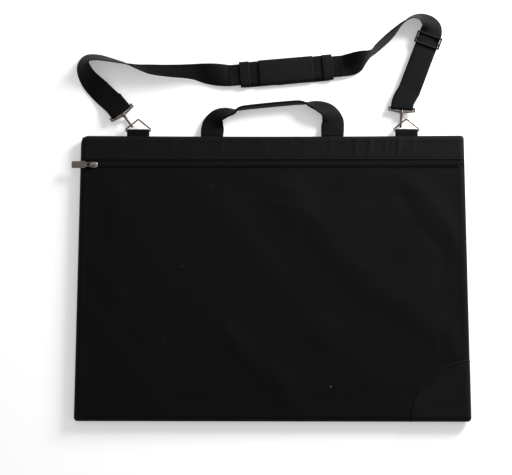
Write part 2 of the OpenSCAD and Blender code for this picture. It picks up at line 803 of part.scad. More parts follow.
back_panel();
back_board();
back_lining();
front_panel();
top_band();
front_foam();
front_lining();
corner_patch();
zip_tape(1);  // zip_tape_upper
zip_tape(-1);  // zip_tape_lower
zip_coil(1);  // zip_coil_upper
zip_coil(-1);  // zip_coil_lower
zip_stops();
zip_slider();
zip_pull();
handle_ends();
handle_webbing();
ring_tab(-tab_x);  // ring_tab_left
ring_tab(tab_x);  // ring_tab_right
ring(-tab_x);  // ring_left
ring(tab_x);  // ring_right
hook(left_base, left_turn);  // hook_left
hook(right_base, right_turn);  // hook_right
hook_gate(left_base, left_turn);  // hook_gate_left
hook_gate(right_base, right_turn);  // hook_gate_right
gate_pin(left_base, left_turn);  // gate_pin_left
gate_pin(right_base, right_turn);  // gate_pin_right
hook_eye(left_base, left_turn);  // hook_eye_left
hook_eye(right_base, right_turn);  // hook_eye_right
strap_webbing();
adjuster();
adjuster_tab();
pad_base();
pad_cover();
pad_keepers();
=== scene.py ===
"""A zipped portfolio case with a webbing handle and a clipped-on shoulder strap.

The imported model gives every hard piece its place. This script dresses it: sewn panels, zip,
webbing, shoulder pad and metal fittings, with their finishes, a pale floor and studio light.
Sizes in the classes are in millimetres.
"""

import json
import logging
import math
from dataclasses import dataclass, field
from enum import Enum
from typing import Optional, Sequence, Union

import bmesh
import bpy
import numpy as np
from mathutils import Euler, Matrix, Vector


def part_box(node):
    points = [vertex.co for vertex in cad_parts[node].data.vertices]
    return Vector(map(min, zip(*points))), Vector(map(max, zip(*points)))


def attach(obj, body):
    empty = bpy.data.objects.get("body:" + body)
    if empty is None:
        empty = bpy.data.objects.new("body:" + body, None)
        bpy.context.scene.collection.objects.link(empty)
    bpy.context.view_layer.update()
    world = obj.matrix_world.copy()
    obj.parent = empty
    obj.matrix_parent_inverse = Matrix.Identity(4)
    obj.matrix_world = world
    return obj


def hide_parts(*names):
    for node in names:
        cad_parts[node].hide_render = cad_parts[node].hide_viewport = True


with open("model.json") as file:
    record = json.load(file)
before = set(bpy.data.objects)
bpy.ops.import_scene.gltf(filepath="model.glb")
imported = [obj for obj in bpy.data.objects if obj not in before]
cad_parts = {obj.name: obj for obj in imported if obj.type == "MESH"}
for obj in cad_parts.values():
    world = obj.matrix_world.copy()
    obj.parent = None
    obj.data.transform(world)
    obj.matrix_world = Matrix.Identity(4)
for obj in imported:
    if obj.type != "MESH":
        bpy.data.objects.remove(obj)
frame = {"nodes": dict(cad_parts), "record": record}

LOG = logging.getLogger("portfolio_case")
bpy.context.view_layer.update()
MM = 0.001
WEAVE = "weave"
# Noise seldom leaves this range
NOISE_LOW, NOISE_HIGH = 0.3, 0.7
CLOTH_STEPS = 6
CLOTH_MASS = 0.3
WAVES = 9
# Vertices across a face of webbing, and how near its edges come to the floor
FACE_VERTICES = 9
LEAST_LIFT = 0.05

Array = np.ndarray
Node = bpy.types.Node
Piece = bpy.types.Object
Socket = bpy.types.NodeSocket
Tree = bpy.types.NodeTree
Value = Union[float, Sequence[float], Socket]


class Slot(Enum):
    """The record's material slots."""

    SHELL = "shell_fabric"
    PATCH = "patch_fabric"
    LINING = "lining_fabric"
    FOAM = "padding"
    BOARD = "stiffener"
    WEBBING = "webbing"
    TAPE = "zip_tape"
    COIL = "zip_coil"
    NICKEL = "nickel"
    WIRE = "wire_nickel"
    ACETAL = "adjuster_plastic"
    PAD = "pad_fabric"


class Side(Enum):
    """The two sides of the case, seen from the front."""

    LEFT = "left"
    RIGHT = "right"

    @property
    def sign(self) -> int:
        """Which way the side lies along x."""
        return -1 if self is Side.LEFT else 1


class ZipHalf(Enum):
    """The two halves of the zip."""

    UPPER = "upper"
    LOWER = "lower"

    @property
    def sign(self) -> int:
        """Which way the half lies along y."""
        return 1 if self is ZipHalf.UPPER else -1


# ---------------------------------------------------------------- finishes


def linear(colour: str) -> tuple:
    """Turns an sRGB hex colour into linear light.

    Args:
        colour: Six hex digits after a hash sign.

    Returns:
        Red, green, blue and an alpha of 1.
    """
    parts = [int(colour[i:i + 2], 16) / 255 for i in (1, 3, 5)]
    light = [c / 12.92 if c <= 0.04045 else ((c + 0.055) / 1.055) ** 2.4 for c in parts]
    return (*light, 1.0)


def add(tree: Tree, kind: str, values: dict[Union[int, str], Value],
        **settings: object) -> Node:
    """Adds one node, sets it and links it.

    Args:
        tree: The node tree.
        kind: The node's type, without its ShaderNode prefix.
        values: Input name or number to a constant, or to the output socket that feeds it.
        **settings: The node's own properties.

    Returns:
        The new node.
    """
    node = tree.nodes.new("ShaderNode" + kind)
    for name, value in settings.items():
        setattr(node, name, value)
    for name, value in values.items():
        if isinstance(value, Socket):
            tree.links.new(value, node.inputs[name])
        else:
            node.inputs[name].default_value = value
    return node


@dataclass(frozen=True)
class Finish:
    """A surface: what it is made of, and how it takes the light."""

    name: str
    slot: Slot
    colour: str
    roughness: float = 0.8
    metallic: float = 0.0
    specular: float = 0.5
    sheen: float = 0.0
    sheen_roughness: float = 0.5

    def material(self) -> bpy.types.Material:
        """Makes the material once, and gives the same one after that.

        Returns:
            The material.
        """
        found = bpy.data.materials.get(self.name)
        if found:
            return found
        made = bpy.data.materials.new(self.name)
        made.use_nodes = True
        tree = made.node_tree
        tree.nodes.clear()
        shader = add(tree, "BsdfPrincipled", {
            "Base Color": linear(self.colour), "Roughness": self.roughness,
            "Metallic": self.metallic, "Specular IOR Level": self.specular,
            "Sheen Weight": self.sheen, "Sheen Roughness": self.sheen_roughness})
        self.detail(tree, shader)
        add(tree, "OutputMaterial", {"Surface": shader.outputs[0]})
        return made

    def detail(self, tree: Tree, shader: Node) -> None:
        """Adds what this finish has beyond its plain colour. A plain finish has nothing."""

    def mottle(self, tree: Tree, where: Socket, size: float, low: float,
               high: float) -> Socket:
        """A slow change over the surface, from low to high.

        Args:
            tree: The node tree.
            where: Coordinates in metres.
            size: Typical size of a patch in millimetres.
            low: Value in the darkest patches.
            high: Value in the lightest patches.

        Returns:
            The changing value.
        """
        cloud = add(tree, "TexNoise", {"Vector": where, "Scale": 1 / (size * MM),
                                       "Detail": 3.0, "Roughness": 0.55})
        return add(tree, "MapRange", {"Value": cloud.outputs[0], 1: NOISE_LOW, 2: NOISE_HIGH,
                                      3: low, 4: high}).outputs[0]

    def tint(self, tree: Tree, shader: Node, factor: Socket) -> Socket:
        """Multiplies the colour by a factor and feeds it to the shader.

        Args:
            tree: The node tree.
            shader: The finish's shader.
            factor: What the colour is multiplied by.

        Returns:
            The changing colour.
        """
        red, green, blue, _ = linear(self.colour)
        scaled = add(tree, "VectorMath", {0: (red, green, blue), "Scale": factor},
                     operation="SCALE")
        tree.links.new(scaled.outputs[0], shader.inputs["Base Color"])
        return scaled.outputs[0]


@dataclass(frozen=True)
class Woven(Finish):
    """Plain-woven yarn. Crossing yarns make a fine grid of small bumps that dulls the gloss.

    The yarns of the real cloth are 0.5 to 0.7 mm apart, too fine to show, so they are drawn
    as coarse as a near view needs. Their colour is painted lighter on the crowns and darker in
    the shade between them. All sizes are in millimetres.
    """

    warp: float = 1.2
    weft: float = 1.2
    bump: float = 0.25
    painted_yarn_shade: float = 0.35
    cloud: float = 70.0
    cloud_low: float = 0.93
    cloud_high: float = 1.08
    lint: tuple = ()
    fuzz: float = 0.9
    yarn_height: float = 0.3
    lint_height: float = 18.0
    lint_colour: str = "#8d8a88"

    def detail(self, tree: Tree, shader: Node) -> None:
        """Draws the yarns, slow changes of shade and any lint.

        Args:
            tree: The node tree.
            shader: The finish's shader.
        """
        where = add(tree, "Attribute", {}, attribute_name=WEAVE).outputs["Vector"]
        parts = add(tree, "SeparateXYZ", {0: where})
        waves = []
        for axis, pitch in ((0, self.warp), (1, self.weft)):
            turn = add(tree, "Math", {0: parts.outputs[axis], 1: math.pi / (pitch * MM)},
                       operation="MULTIPLY")
            waves.append(add(tree, "Math", {0: turn.outputs[0]}, operation="SINE").outputs[0])
        crossing = add(tree, "Math", {0: waves[0], 1: waves[1]}, operation="MULTIPLY").outputs[0]
        over = add(tree, "Math", {0: waves[0]}, operation="ABSOLUTE").outputs[0]
        under = add(tree, "Math", {0: waves[1]}, operation="ABSOLUTE").outputs[0]
        side = add(tree, "Math", {0: crossing, 1: 0.0}, operation="GREATER_THAN").outputs[0]
        yarn = add(tree, "Mix", {"Factor": side, 2: over, 3: under}, data_type="FLOAT")
        fuzz = add(tree, "TexNoise", {"Vector": where, "Scale": 1 / (self.fuzz * MM),
                                      "Detail": 2.0})
        height = add(tree, "Math", {0: yarn.outputs[0], 1: fuzz.outputs[0]}, operation="ADD")
        bump = add(tree, "Bump", {"Strength": self.bump, "Distance": self.yarn_height * MM,
                                  "Height": height.outputs[0]})
        tree.links.new(bump.outputs[0], shader.inputs["Normal"])
        shade = self.mottle(tree, where, self.cloud, self.cloud_low, self.cloud_high)
        # Painted light: the yarns' crowns are coloured lighter and the gaps between them darker,
        # as shade
        lit = add(tree, "MapRange", {"Value": yarn.outputs[0], 1: 0.0, 2: 1.0,
                                     3: 1 - self.painted_yarn_shade, 4: 1 + self.painted_yarn_shade})
        both = add(tree, "Math", {0: shade, 1: lit.outputs[0]}, operation="MULTIPLY").outputs[0]
        colour = self.tint(tree, shader, both)
        if self.lint:
            self.scatter_lint(tree, shader, colour)

    def scatter_lint(self, tree: Tree, shader: Node, colour: Socket) -> None:
        """Lays pale flecks of lint on the cloth.

        Args:
            tree: The node tree.
            shader: The finish's shader.
            colour: The cloth's own colour.
        """
        place = add(tree, "TexCoord", {}).outputs["Object"]
        ragged = add(tree, "TexNoise", {"Vector": place, "Scale": 1 / (1.5 * MM)}).outputs[0]
        total: Optional[Socket] = None
        for x, y, size, strength in self.lint:
            off = add(tree, "VectorMath", {0: place, 1: (x * MM, y * MM, self.lint_height * MM)},
                      operation="DISTANCE")
            fade = add(tree, "MapRange", {"Value": off.outputs["Value"], 1: 0.0, 2: size * MM,
                                          3: strength, 4: 0.0})
            if total is None:
                total = fade.outputs[0]
            else:
                total = add(tree, "Math", {0: total, 1: fade.outputs[0]},
                            operation="MAXIMUM").outputs[0]
        amount = add(tree, "Math", {0: total, 1: ragged}, operation="MULTIPLY").outputs[0]
        mixed = add(tree, "Mix", {"Factor": amount, 6: colour, 7: linear(self.lint_colour)},
                    data_type="RGBA")
        tree.links.new(mixed.outputs[2], shader.inputs["Base Color"])


@dataclass(frozen=True)
class Webbing(Finish):
    """Ribbed polypropylene webbing: close ribs across it and a few cords along it.

    The cords bend the ribs into a shallow herringbone, which breaks up the gloss. The ribs'
    colour is painted lighter on their crests and darker in the shade of their troughs. All sizes
    are in millimetres.
    """

    rib: float = 1.5
    cords: float = 5.4
    skew: float = 1.3
    bump: float = 0.6
    rib_height: float = 0.25
    painted_rib_shade: float = 0.3
    fuzz: float = 0.8
    wear: float = 22.0
    wear_low: float = 0.8
    wear_high: float = 1.2

    def detail(self, tree: Tree, shader: Node) -> None:
        """Draws the ribs, the cords and slow wear.

        Args:
            tree: The node tree.
            shader: The finish's shader.
        """
        where = add(tree, "Attribute", {}, attribute_name=WEAVE).outputs["Vector"]
        parts = add(tree, "SeparateXYZ", {0: where})
        along = add(tree, "Math", {0: parts.outputs[0], 1: 2 * math.pi / (self.rib * MM)},
                    operation="MULTIPLY")
        across = add(tree, "Math", {0: parts.outputs[1], 1: 2 * math.pi / (self.cords * MM)},
                     operation="MULTIPLY")
        swing = add(tree, "Math", {0: across.outputs[0]}, operation="SINE")
        skew = add(tree, "Math", {0: swing.outputs[0], 1: self.skew, 2: along.outputs[0]},
                   operation="MULTIPLY_ADD")
        ribs = add(tree, "Math", {0: skew.outputs[0]}, operation="SINE").outputs[0]
        fuzz = add(tree, "TexNoise", {"Vector": where, "Scale": 1 / (self.fuzz * MM),
                                      "Detail": 2.0})
        height = add(tree, "Math", {0: ribs, 1: 0.5, 2: fuzz.outputs[0]},
                     operation="MULTIPLY_ADD")
        bump = add(tree, "Bump", {"Strength": self.bump, "Distance": self.rib_height * MM,
                                  "Height": height.outputs[0]})
        tree.links.new(bump.outputs[0], shader.inputs["Normal"])
        shade = self.mottle(tree, where, self.wear, self.wear_low, self.wear_high)
        # Painted light: the ribs' crests are coloured lighter and their troughs darker, as shade
        lit = add(tree, "MapRange", {"Value": ribs, 1: -1.0, 2: 1.0, 3: 1 - self.painted_rib_shade,
                                     4: 1 + self.painted_rib_shade})
        both = add(tree, "Math", {0: shade, 1: lit.outputs[0]}, operation="MULTIPLY").outputs[0]
        self.tint(tree, shader, both)


@dataclass(frozen=True)
class Plated(Finish):
    """Bright plating over cast zinc or wire. Handling leaves faint smears in the gloss.

    The unevenness of the casting and the smears are a few millimetres across.
    """

    smear: float = 9.0
    spread: float = 0.14
    tarnish: float = 6.0
    tarnish_low: float = 0.82
    tarnish_high: float = 1.05
    uneven: float = 2.2
    uneven_height: float = 0.2
    bump: float = 0.12

    def detail(self, tree: Tree, shader: Node) -> None:
        """Varies the gloss and leaves the cast surface slightly uneven.

        Args:
            tree: The node tree.
            shader: The finish's shader.
        """
        where = add(tree, "TexCoord", {}).outputs["Object"]
        gloss = self.mottle(tree, where, self.smear, self.roughness - self.spread / 2,
                            self.roughness + self.spread)
        tree.links.new(gloss, shader.inputs["Roughness"])
        uneven = add(tree, "TexNoise", {"Vector": where, "Scale": 1 / (self.uneven * MM)})
        bump = add(tree, "Bump", {"Strength": self.bump, "Distance": self.uneven_height * MM,
                                  "Height": uneven.outputs[0]})
        tree.links.new(bump.outputs[0], shader.inputs["Normal"])
        self.tint(tree, shader, self.mottle(tree, where, self.tarnish, self.tarnish_low,
                                            self.tarnish_high))


@dataclass(frozen=True)
class Moulded(Finish):
    """Plastic from a mould or an extruder, with the fine grain of its skin."""

    grain: float = 0.7
    bump: float = 0.1
    grain_height: float = 0.15
    cloud: float = 12.0
    cloud_low: float = 0.85
    cloud_high: float = 1.12

    def detail(self, tree: Tree, shader: Node) -> None:
        """Adds the grain and a slow change of shade.

        Args:
            tree: The node tree.
            shader: The finish's shader.
        """
        where = add(tree, "TexCoord", {}).outputs["Object"]
        skin = add(tree, "TexNoise", {"Vector": where, "Scale": 1 / (self.grain * MM),
                                      "Detail": 2.0})
        bump = add(tree, "Bump", {"Strength": self.bump, "Distance": self.grain_height * MM,
                                  "Height": skin.outputs[0]})
        tree.links.new(bump.outputs[0], shader.inputs["Normal"])
        self.tint(tree, shader, self.mottle(tree, where, self.cloud, self.cloud_low,
                                            self.cloud_high))


# Flecks of lint on the front: place across, place up, radius and strength
LINT = ((-100, 152, 1.8, 0.4), (-150, 15, 2.2, 0.45), (-182, 5, 1.6, 0.3), (-4, 24, 1.6, 0.32),
        (6, 2, 1.8, 0.25), (-178, -106, 2.0, 0.25), (-54, -118, 2.4, 0.22), (-6, -116, 1.8, 0.28),
        (96, -184, 2.4, 0.95), (-193, -168, 1.8, 0.2), (177, -49, 1.6, 0.22))

# Woven polyester, dyed through: dull black, a little lighter where it bends to the light
SHELL = Woven("black woven polyester", Slot.SHELL, "#09090b", 0.72, specular=0.075,
              sheen=0.01, sheen_roughness=0.45, lint=LINT)
# The same cloth, stretched flat above the zip; its colour is painted lighter here for the light
# that it catches
BAND = Woven("black woven polyester of the band, painted lighter", Slot.SHELL, "#0c0c0d", 0.7, specular=0.1,
             sheen=0.01, sheen_roughness=0.45)
# Coarser cloth, coated behind: each yarn shows
PATCH = Woven("coarse black polyester", Slot.PATCH, "#0b0b0d", 0.7, specular=0.09, sheen=0.01,
              warp=1.6, weft=1.6, bump=0.5)
# Taffeta, close and smooth, dark grey
LINING = Woven("black lining taffeta", Slot.LINING, "#2c2c30", 0.7, warp=0.9, weft=0.9)
# Foam split from a block: a fine, even pitting and no gloss
FOAM = Moulded("closed-cell foam", Slot.FOAM, "#3d3d40", 0.95, grain=1.4, bump=0.5)
# Extruded polypropylene: an even satin grey
BOARD = Moulded("polypropylene sheet", Slot.BOARD, "#6d6d70", 0.45)
# Polypropylene yarn, tightly woven: a deep black with a faint shine on its ribs
STRAP = Webbing("black ribbed webbing", Slot.WEBBING, "#09090a", 0.62, specular=0.09,
                sheen=0.01, sheen_roughness=0.4)
# Fine woven tape, matt
TAPE = Woven("black zip tape", Slot.TAPE, "#0c0c0d", 0.8, specular=0.08, warp=1.0, weft=0.8)
# Drawn nylon: smooth, with a soft shine
COIL = Moulded("black nylon monofilament", Slot.COIL, "#0d0d0e", 0.5, specular=0.14)
# Bonded nylon thread: a little glossier than the cloth, so that each stitch shows
THREAD = Moulded("black bonded nylon thread", Slot.SHELL, "#0e0e0f", 0.55, specular=0.14)
# Die-cast zinc, polished and plated: warm grey, with clear reflections
NICKEL = Plated("nickel-plated zinc", Slot.NICKEL, "#857b74", 0.24, metallic=1.0)
# The slider is rubbed bright by use
SLIDER = Plated("bright nickel slider", Slot.NICKEL, "#bdb7b2", 0.26, metallic=1.0)
# The pull is rubbed duller
WORN_NICKEL = Plated("worn nickel pull", Slot.NICKEL, "#8d817d", 0.34, metallic=1.0)
# Lacquer over metal: nearly black, a weak shine
DARK_STOP = Plated("black-lacquered zip stop", Slot.NICKEL, "#1a1918", 0.45, metallic=0.6,
                   specular=0.3)
# Bent wire, plated: thin, so its colour is painted darker to stand for the dark cloth that it
# mirrors
WIRE = Plated("nickel-plated wire with painted reflection", Slot.WIRE, "#74675e", 0.3, metallic=1.0)
# Moulded acetal: smooth black plastic with a satin shine
ACETAL = Moulded("black acetal", Slot.ACETAL, "#0a0a0b", 0.4, specular=0.25)
# Cloth with a rubbery grip woven in: coarse, slightly shiny, marked by use
PAD_CLOTH = Woven("black non-slip pad cloth", Slot.PAD, "#0b0b0e", 0.62, specular=0.11,
                  sheen=0.015, warp=1.4, weft=2.4, bump=0.4, cloud=14.0)


# ---------------------------------------------------------------- meshes


def make_piece(name: str, points: Array, faces: list, weave: Optional[Array] = None) -> Piece:
    """Makes a smooth mesh object from points in millimetres.

    Args:
        name: The piece's name.
        points: One row of x, y and z for each vertex.
        faces: Vertex numbers of each face.
        weave: Where each vertex lies on the flat cloth, in millimetres.

    Returns:
        The object, linked to the scene.
    """
    mesh = bpy.data.meshes.new(name)
    mesh.from_pydata((np.asarray(points, float) * MM).tolist(), [], faces)
    if weave is not None:
        flat = np.zeros((len(points), 3), np.float32)
        flat[:, :2] = np.asarray(weave)[:, :2] * MM
        layer = mesh.attributes.new(WEAVE, "FLOAT_VECTOR", "POINT")
        layer.data.foreach_set("vector", flat.ravel())
    loose = bmesh.new()
    loose.from_mesh(mesh)
    bmesh.ops.recalc_face_normals(loose, faces=loose.faces)
    loose.to_mesh(mesh)
    loose.free()
    mesh.shade_smooth()
    piece = bpy.data.objects.new(name, mesh)
    bpy.context.scene.collection.objects.link(piece)
    return piece


def grid_faces(rows: int, columns: int, closed: bool = False, start: int = 0) -> list:
    """Quads of a grid of vertices, row by row.

    Args:
        rows: How many rows.
        columns: How many vertices in a row.
        closed: Whether each row's end joins its start.
        start: Number of the first vertex.

    Returns:
        The faces.
    """
    last = columns if closed else columns - 1
    return [[start + i * columns + j, start + i * columns + (j + 1) % columns,
             start + (i + 1) * columns + (j + 1) % columns, start + (i + 1) * columns + j]
            for i in range(rows - 1) for j in range(last)]


def sweep(rings: Array, closed: bool = False) -> tuple:
    """Joins rings of points into a tube, capped unless it closes on itself.

    Args:
        rings: Rings by points by x, y and z.
        closed: Whether the last ring joins the first.

    Returns:
        Its points and faces.
    """
    count, sides, _ = rings.shape
    points = rings.reshape(-1, 3)
    faces = grid_faces(count, sides, True)
    if closed:
        faces += [[(count - 1) * sides + j, (count - 1) * sides + (j + 1) % sides,
                   (j + 1) % sides, j] for j in range(sides)]
    else:
        faces += [list(range(sides)), [(count - 1) * sides + j for j in range(sides)][::-1]]
    return points, faces


def tube(path: Array, radius: float, sides: int = 8, closed: bool = False) -> tuple:
    """A round wire along a path, as points and faces.

    Args:
        path: The wire's middle line.
        radius: Its radius.
        sides: How many faces go round it.
        closed: Whether it is a loop.

    Returns:
        Its points and faces.
    """
    ahead = np.roll(path, -1, 0) - np.roll(path, 1, 0)
    if not closed:
        ahead[0], ahead[-1] = path[1] - path[0], path[-1] - path[-2]
    ahead /= np.linalg.norm(ahead, axis=1, keepdims=True)
    lean = np.where(np.abs(ahead[:, 2:3]) > 0.9, [[1.0, 0, 0]], [[0, 0, 1.0]])
    side = np.cross(ahead, lean)
    side /= np.linalg.norm(side, axis=1, keepdims=True)
    up = np.cross(side, ahead)
    turns = 2 * np.pi * np.arange(sides) / sides
    rings = (path[:, None] + radius * (side[:, None] * np.cos(turns)[None, :, None]
                                       + up[:, None] * np.sin(turns)[None, :, None]))
    return sweep(rings, closed)


def dress(piece: Piece, finish: Finish, body: str, nodes: Sequence[str] = ()) -> None:
    """Finishes a piece and puts it on its body.

    Args:
        piece: The new piece.
        finish: What it is made of.
        body: The body that it moves with.
        nodes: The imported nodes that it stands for.
    """
    piece.data.materials.clear()
    piece.data.materials.append(finish.material())
    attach(piece, body)
    if nodes:
        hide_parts(*nodes)
    LOG.info("%s: %d faces, on %s", piece.name, len(piece.data.polygons), body)


def coat(node: str, finish: Finish) -> None:
    """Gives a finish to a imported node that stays.

    Args:
        node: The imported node.
        finish: What it is made of.
    """
    kept = frame["nodes"][node]
    kept.data.materials.clear()
    kept.data.materials.append(finish.material())
    LOG.info("%s: kept, finished as %s", node, finish.name)


def soften(node: str, name: str, finish: Finish, body: str, cell: float, rounds: int = 4) -> None:
    """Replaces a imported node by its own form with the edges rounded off.

    Args:
        node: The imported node.
        name: The new piece's name.
        finish: What it is made of.
        body: The body that it moves with.
        cell: Size of the new mesh's cells.
        rounds: How often the form is smoothed.
    """
    source = frame["nodes"][node]
    piece = bpy.data.objects.new(name, source.data.copy())
    bpy.context.scene.collection.objects.link(piece)
    remesh = piece.modifiers.new("cells", "REMESH")
    remesh.mode, remesh.voxel_size = "VOXEL", cell * MM
    smooth = piece.modifiers.new("rounding", "SMOOTH")
    smooth.factor, smooth.iterations = 0.5, rounds
    graph = bpy.context.evaluated_depsgraph_get()
    mesh = bpy.data.meshes.new_from_object(piece.evaluated_get(graph))
    piece.modifiers.clear()
    piece.data = mesh
    mesh.shade_smooth()
    dress(piece, finish, body, [node])


def thicken(piece: Piece, skin: float) -> None:
    """Gives a cloth its thickness, inwards from its outer face."""
    thick = piece.modifiers.new("thickness", "SOLIDIFY")
    thick.thickness, thick.offset = skin * MM, -1


def middle_of(node: str) -> Array:
    """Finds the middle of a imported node, seen from above, in millimetres."""
    low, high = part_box(node)
    return np.array([low.x + high.x, low.y + high.y]) / 2 / MM


def puff(piece: Piece, pressure: float, cap: float, pins: Optional[Array] = None,
         frames: int = 20) -> None:
    """Blows a padded piece up a little as cloth, and keeps the result.

    Args:
        piece: The piece, which keeps its vertices.
        pressure: Air pressure inside it.
        cap: The furthest that a point may move.
        pins: How firmly each vertex is held, from 0 to 1.
        frames: How long the cloth moves.
    """
    scene = bpy.context.scene
    count = len(piece.data.vertices)
    rest = np.zeros(count * 3)
    piece.data.vertices.foreach_get("co", rest)
    cloth = piece.modifiers.new("puff", "CLOTH")
    cloth.settings.quality = CLOTH_STEPS
    cloth.settings.mass = CLOTH_MASS
    cloth.settings.use_pressure = True
    cloth.settings.uniform_pressure_force = pressure
    cloth.settings.effector_weights.gravity = 0.0
    cloth.collision_settings.use_collision = False
    if pins is not None:
        group = piece.vertex_groups.new(name="sewn")
        for number, hold in enumerate(pins):
            group.add([number], float(hold), "REPLACE")
        cloth.settings.vertex_group_mass = "sewn"
    cloth.point_cache.frame_start, cloth.point_cache.frame_end = 1, frames
    for step in range(1, frames + 1):
        scene.frame_set(step)
    graph = bpy.context.evaluated_depsgraph_get()
    moved = np.zeros(count * 3)
    piece.evaluated_get(graph).data.vertices.foreach_get("co", moved)
    move = (moved - rest).reshape(-1, 3)
    far = np.linalg.norm(move, axis=1, keepdims=True)
    move *= np.minimum(1, cap * MM / np.maximum(far, 1e-9))
    piece.modifiers.remove(cloth)
    piece.vertex_groups.clear()
    piece.data.vertices.foreach_set("co", (rest.reshape(-1, 3) + move).ravel())
    piece.data.update()
    scene.frame_set(1)
    LOG.info("%s puffed, most %.1f mm", piece.name, far.max() / MM)


def ripple(x: Array, y: Array, size: float, seed: int) -> Array:
    """Soft uneven waves between about -1 and 1.

    Args:
        x: Places across.
        y: Places along.
        size: Typical length of a wave.
        seed: Which set of waves.

    Returns:
        The height at each place.
    """
    draw = np.random.default_rng(seed)
    total = np.zeros(np.broadcast(x, y).shape)
    for _ in range(WAVES):
        turn, phase = draw.uniform(0, np.pi), draw.uniform(0, 2 * np.pi)
        pace = 2 * np.pi / (size * draw.uniform(0.7, 1.6))
        total = total + np.cos(pace * (x * np.cos(turn) + y * np.sin(turn)) + phase)
    return total / (WAVES / 2)


def ease(low: float, high: float, value: Array) -> Array:
    """Rises smoothly from 0 at low to 1 at high."""
    share = np.clip((value - low) / (high - low), 0, 1)
    return share * share * (3 - 2 * share)


def bell(distance: Array, width: float) -> Array:
    """A smooth bump, 1 high at no distance and fading over its width."""
    return np.exp(-(distance / width) ** 2)


def running(points: Array) -> Array:
    """Measures how far along a route each of its points lies."""
    return np.concatenate([[0], np.cumsum(np.linalg.norm(np.diff(points, axis=0), axis=1))])


def beside(x: Array, y: Array, route: Sequence[Sequence[float]]) -> Array:
    """Measures how far places lie from a route of straight stretches.

    Args:
        x: Places across.
        y: Places up.
        route: The corners of the route.

    Returns:
        The distances.
    """
    nearest = np.full(np.broadcast(x, y).shape, np.inf)
    for (ax, ay), (bx, by) in zip(route, route[1:]):
        dx, dy = bx - ax, by - ay
        share = np.clip(((x - ax) * dx + (y - ay) * dy) / (dx ** 2 + dy ** 2), 0, 1)
        nearest = np.minimum(nearest, np.hypot(x - ax - share * dx, y - ay - share * dy))
    return nearest


def spaced(length: float, fine: Sequence[tuple], step: float, small: float) -> Array:
    """Places along a length, close together in its fine stretches.

    Args:
        length: The whole length.
        fine: Start and end of each fine stretch.
        step: Usual distance between places.
        small: Distance in the fine stretches.

    Returns:
        The places, from 0 to length.
    """
    ends = [float(m) for pair in fine for m in pair if 0 <= m <= length]
    marks = sorted({0.0, float(length), *ends})
    places = [np.array([0.0])]
    for low, high in zip(marks, marks[1:]):
        middle = (low + high) / 2
        near = small if any(a <= middle <= b for a, b in fine) else step
        count = max(1, round((high - low) / near))
        places.append(np.linspace(low, high, count + 1)[1:])
    return np.concatenate(places)


# ---------------------------------------------------------------- sewing


@dataclass
class Thread:
    """Rows of lockstitch: each stitch is a short raised length of thread."""

    pitch: float = 3.2
    length: float = 2.5
    radius: float = 0.32
    lift: float = 0.22
    sides: int = 6

    def sew(self, name: str, rows: Sequence[tuple], body: str, finish: Finish = THREAD) -> None:
        """Lays stitches along rows.

        Args:
            name: The piece's name.
            rows: Pairs of a row's points and the directions out of the cloth there.
            body: The body that the thread moves with.
            finish: What it is made of.
        """
        # A stitch is thickest in its middle, arches over the cloth and dives into it at both ends
        along = np.array([-0.5, -0.3, 0.0, 0.3, 0.5]) * self.length
        wide = np.array([0.35, 0.9, 1.0, 0.9, 0.35]) * self.radius
        high = self.lift * (1 - (along / along[0]) ** 2) - 0.3 * self.radius
        turns = 2 * np.pi * np.arange(self.sides) / self.sides
        points, faces, flat = [], [], []
        shape = grid_faces(len(along), self.sides, True)
        shape += [list(range(self.sides)),
                  [len(along) * self.sides - 1 - j for j in range(self.sides)]]
        for route, outward in rows:
            reach = running(route)
            for middle in np.arange(self.pitch / 2, reach[-1] - self.pitch / 3, self.pitch):
                at = np.array([np.interp([middle - 0.5, middle, middle + 0.5], reach, route[:, k])
                               for k in range(3)]).T
                out = np.array([np.interp(middle, reach, outward[:, k]) for k in range(3)])
                ahead = at[2] - at[0]
                ahead /= np.linalg.norm(ahead)
                out = out - ahead * (out @ ahead)
                out /= np.linalg.norm(out)
                side = np.cross(out, ahead)
                start = len(points)
                for u, r, h in zip(along, wide, high):
                    for turn in turns:
                        points.append(at[1] + ahead * u + side * r * math.cos(turn)
                                      + out * (h + r * math.sin(turn)))
                        flat.append((middle + u, r))
                faces += [[start + v for v in face] for face in shape]
        dress(make_piece(name, np.array(points), faces, np.array(flat)), finish, body)


# ---------------------------------------------------------------- case


class Part(Enum):
    """The three sewn skins of the case."""

    BACK = "back"
    FRONT = "front"
    BAND = "band"


@dataclass(frozen=True)
class Fold:
    """A soft ridge in the cloth: its route, its half width and its height."""

    route: tuple
    spread: float
    height: float

    def rise(self, x: Array, y: Array) -> Array:
        """Height of the ridge at each place."""
        return self.height * bell(beside(x, y, self.route), self.spread)


# Long soft folds in the front, which run down to the right
FOLDS = (
    Fold(((5, 185), (104, 49), (167, -18), (262, -80), (305, -122)), 30, 3.0),
    Fold(((222, 178), (292, 84), (322, 40)), 21, 2.8),
    Fold(((-125, 160), (-64, 82), (11, -11), (70, -85)), 27, 1.9),
    Fold(((-262, 142), (-214, 50), (-176, -14)), 24, 1.9),
    Fold(((-292, 12), (-244, -56), (-205, -95)), 18, 1.2),
    Fold(((-300, -62), (-222, -170), (-190, -205)), 20, 1.8),
    Fold(((-76, -94), (-20, -152), (34, -204)), 22, 2.2),
    Fold(((-80, -76), (-52, -126)), 7, 0.7),
    Fold(((96, -110), (170, -170), (214, -212)), 26, 1.3),
    Fold(((-20, 172), (30, 96)), 18, 0.8),
)

# Places of the small pleats along the band, and how high each one stands
PLEATS = ((139, 0.8), (163, 0.9), (189, 0.7), (199, 0.6), (211, 1.1), (236, 0.5), (96, 0.5),
          (52, 0.4), (-12, 0.35), (-88, 0.4), (-171, 0.4), (-262, 0.35))


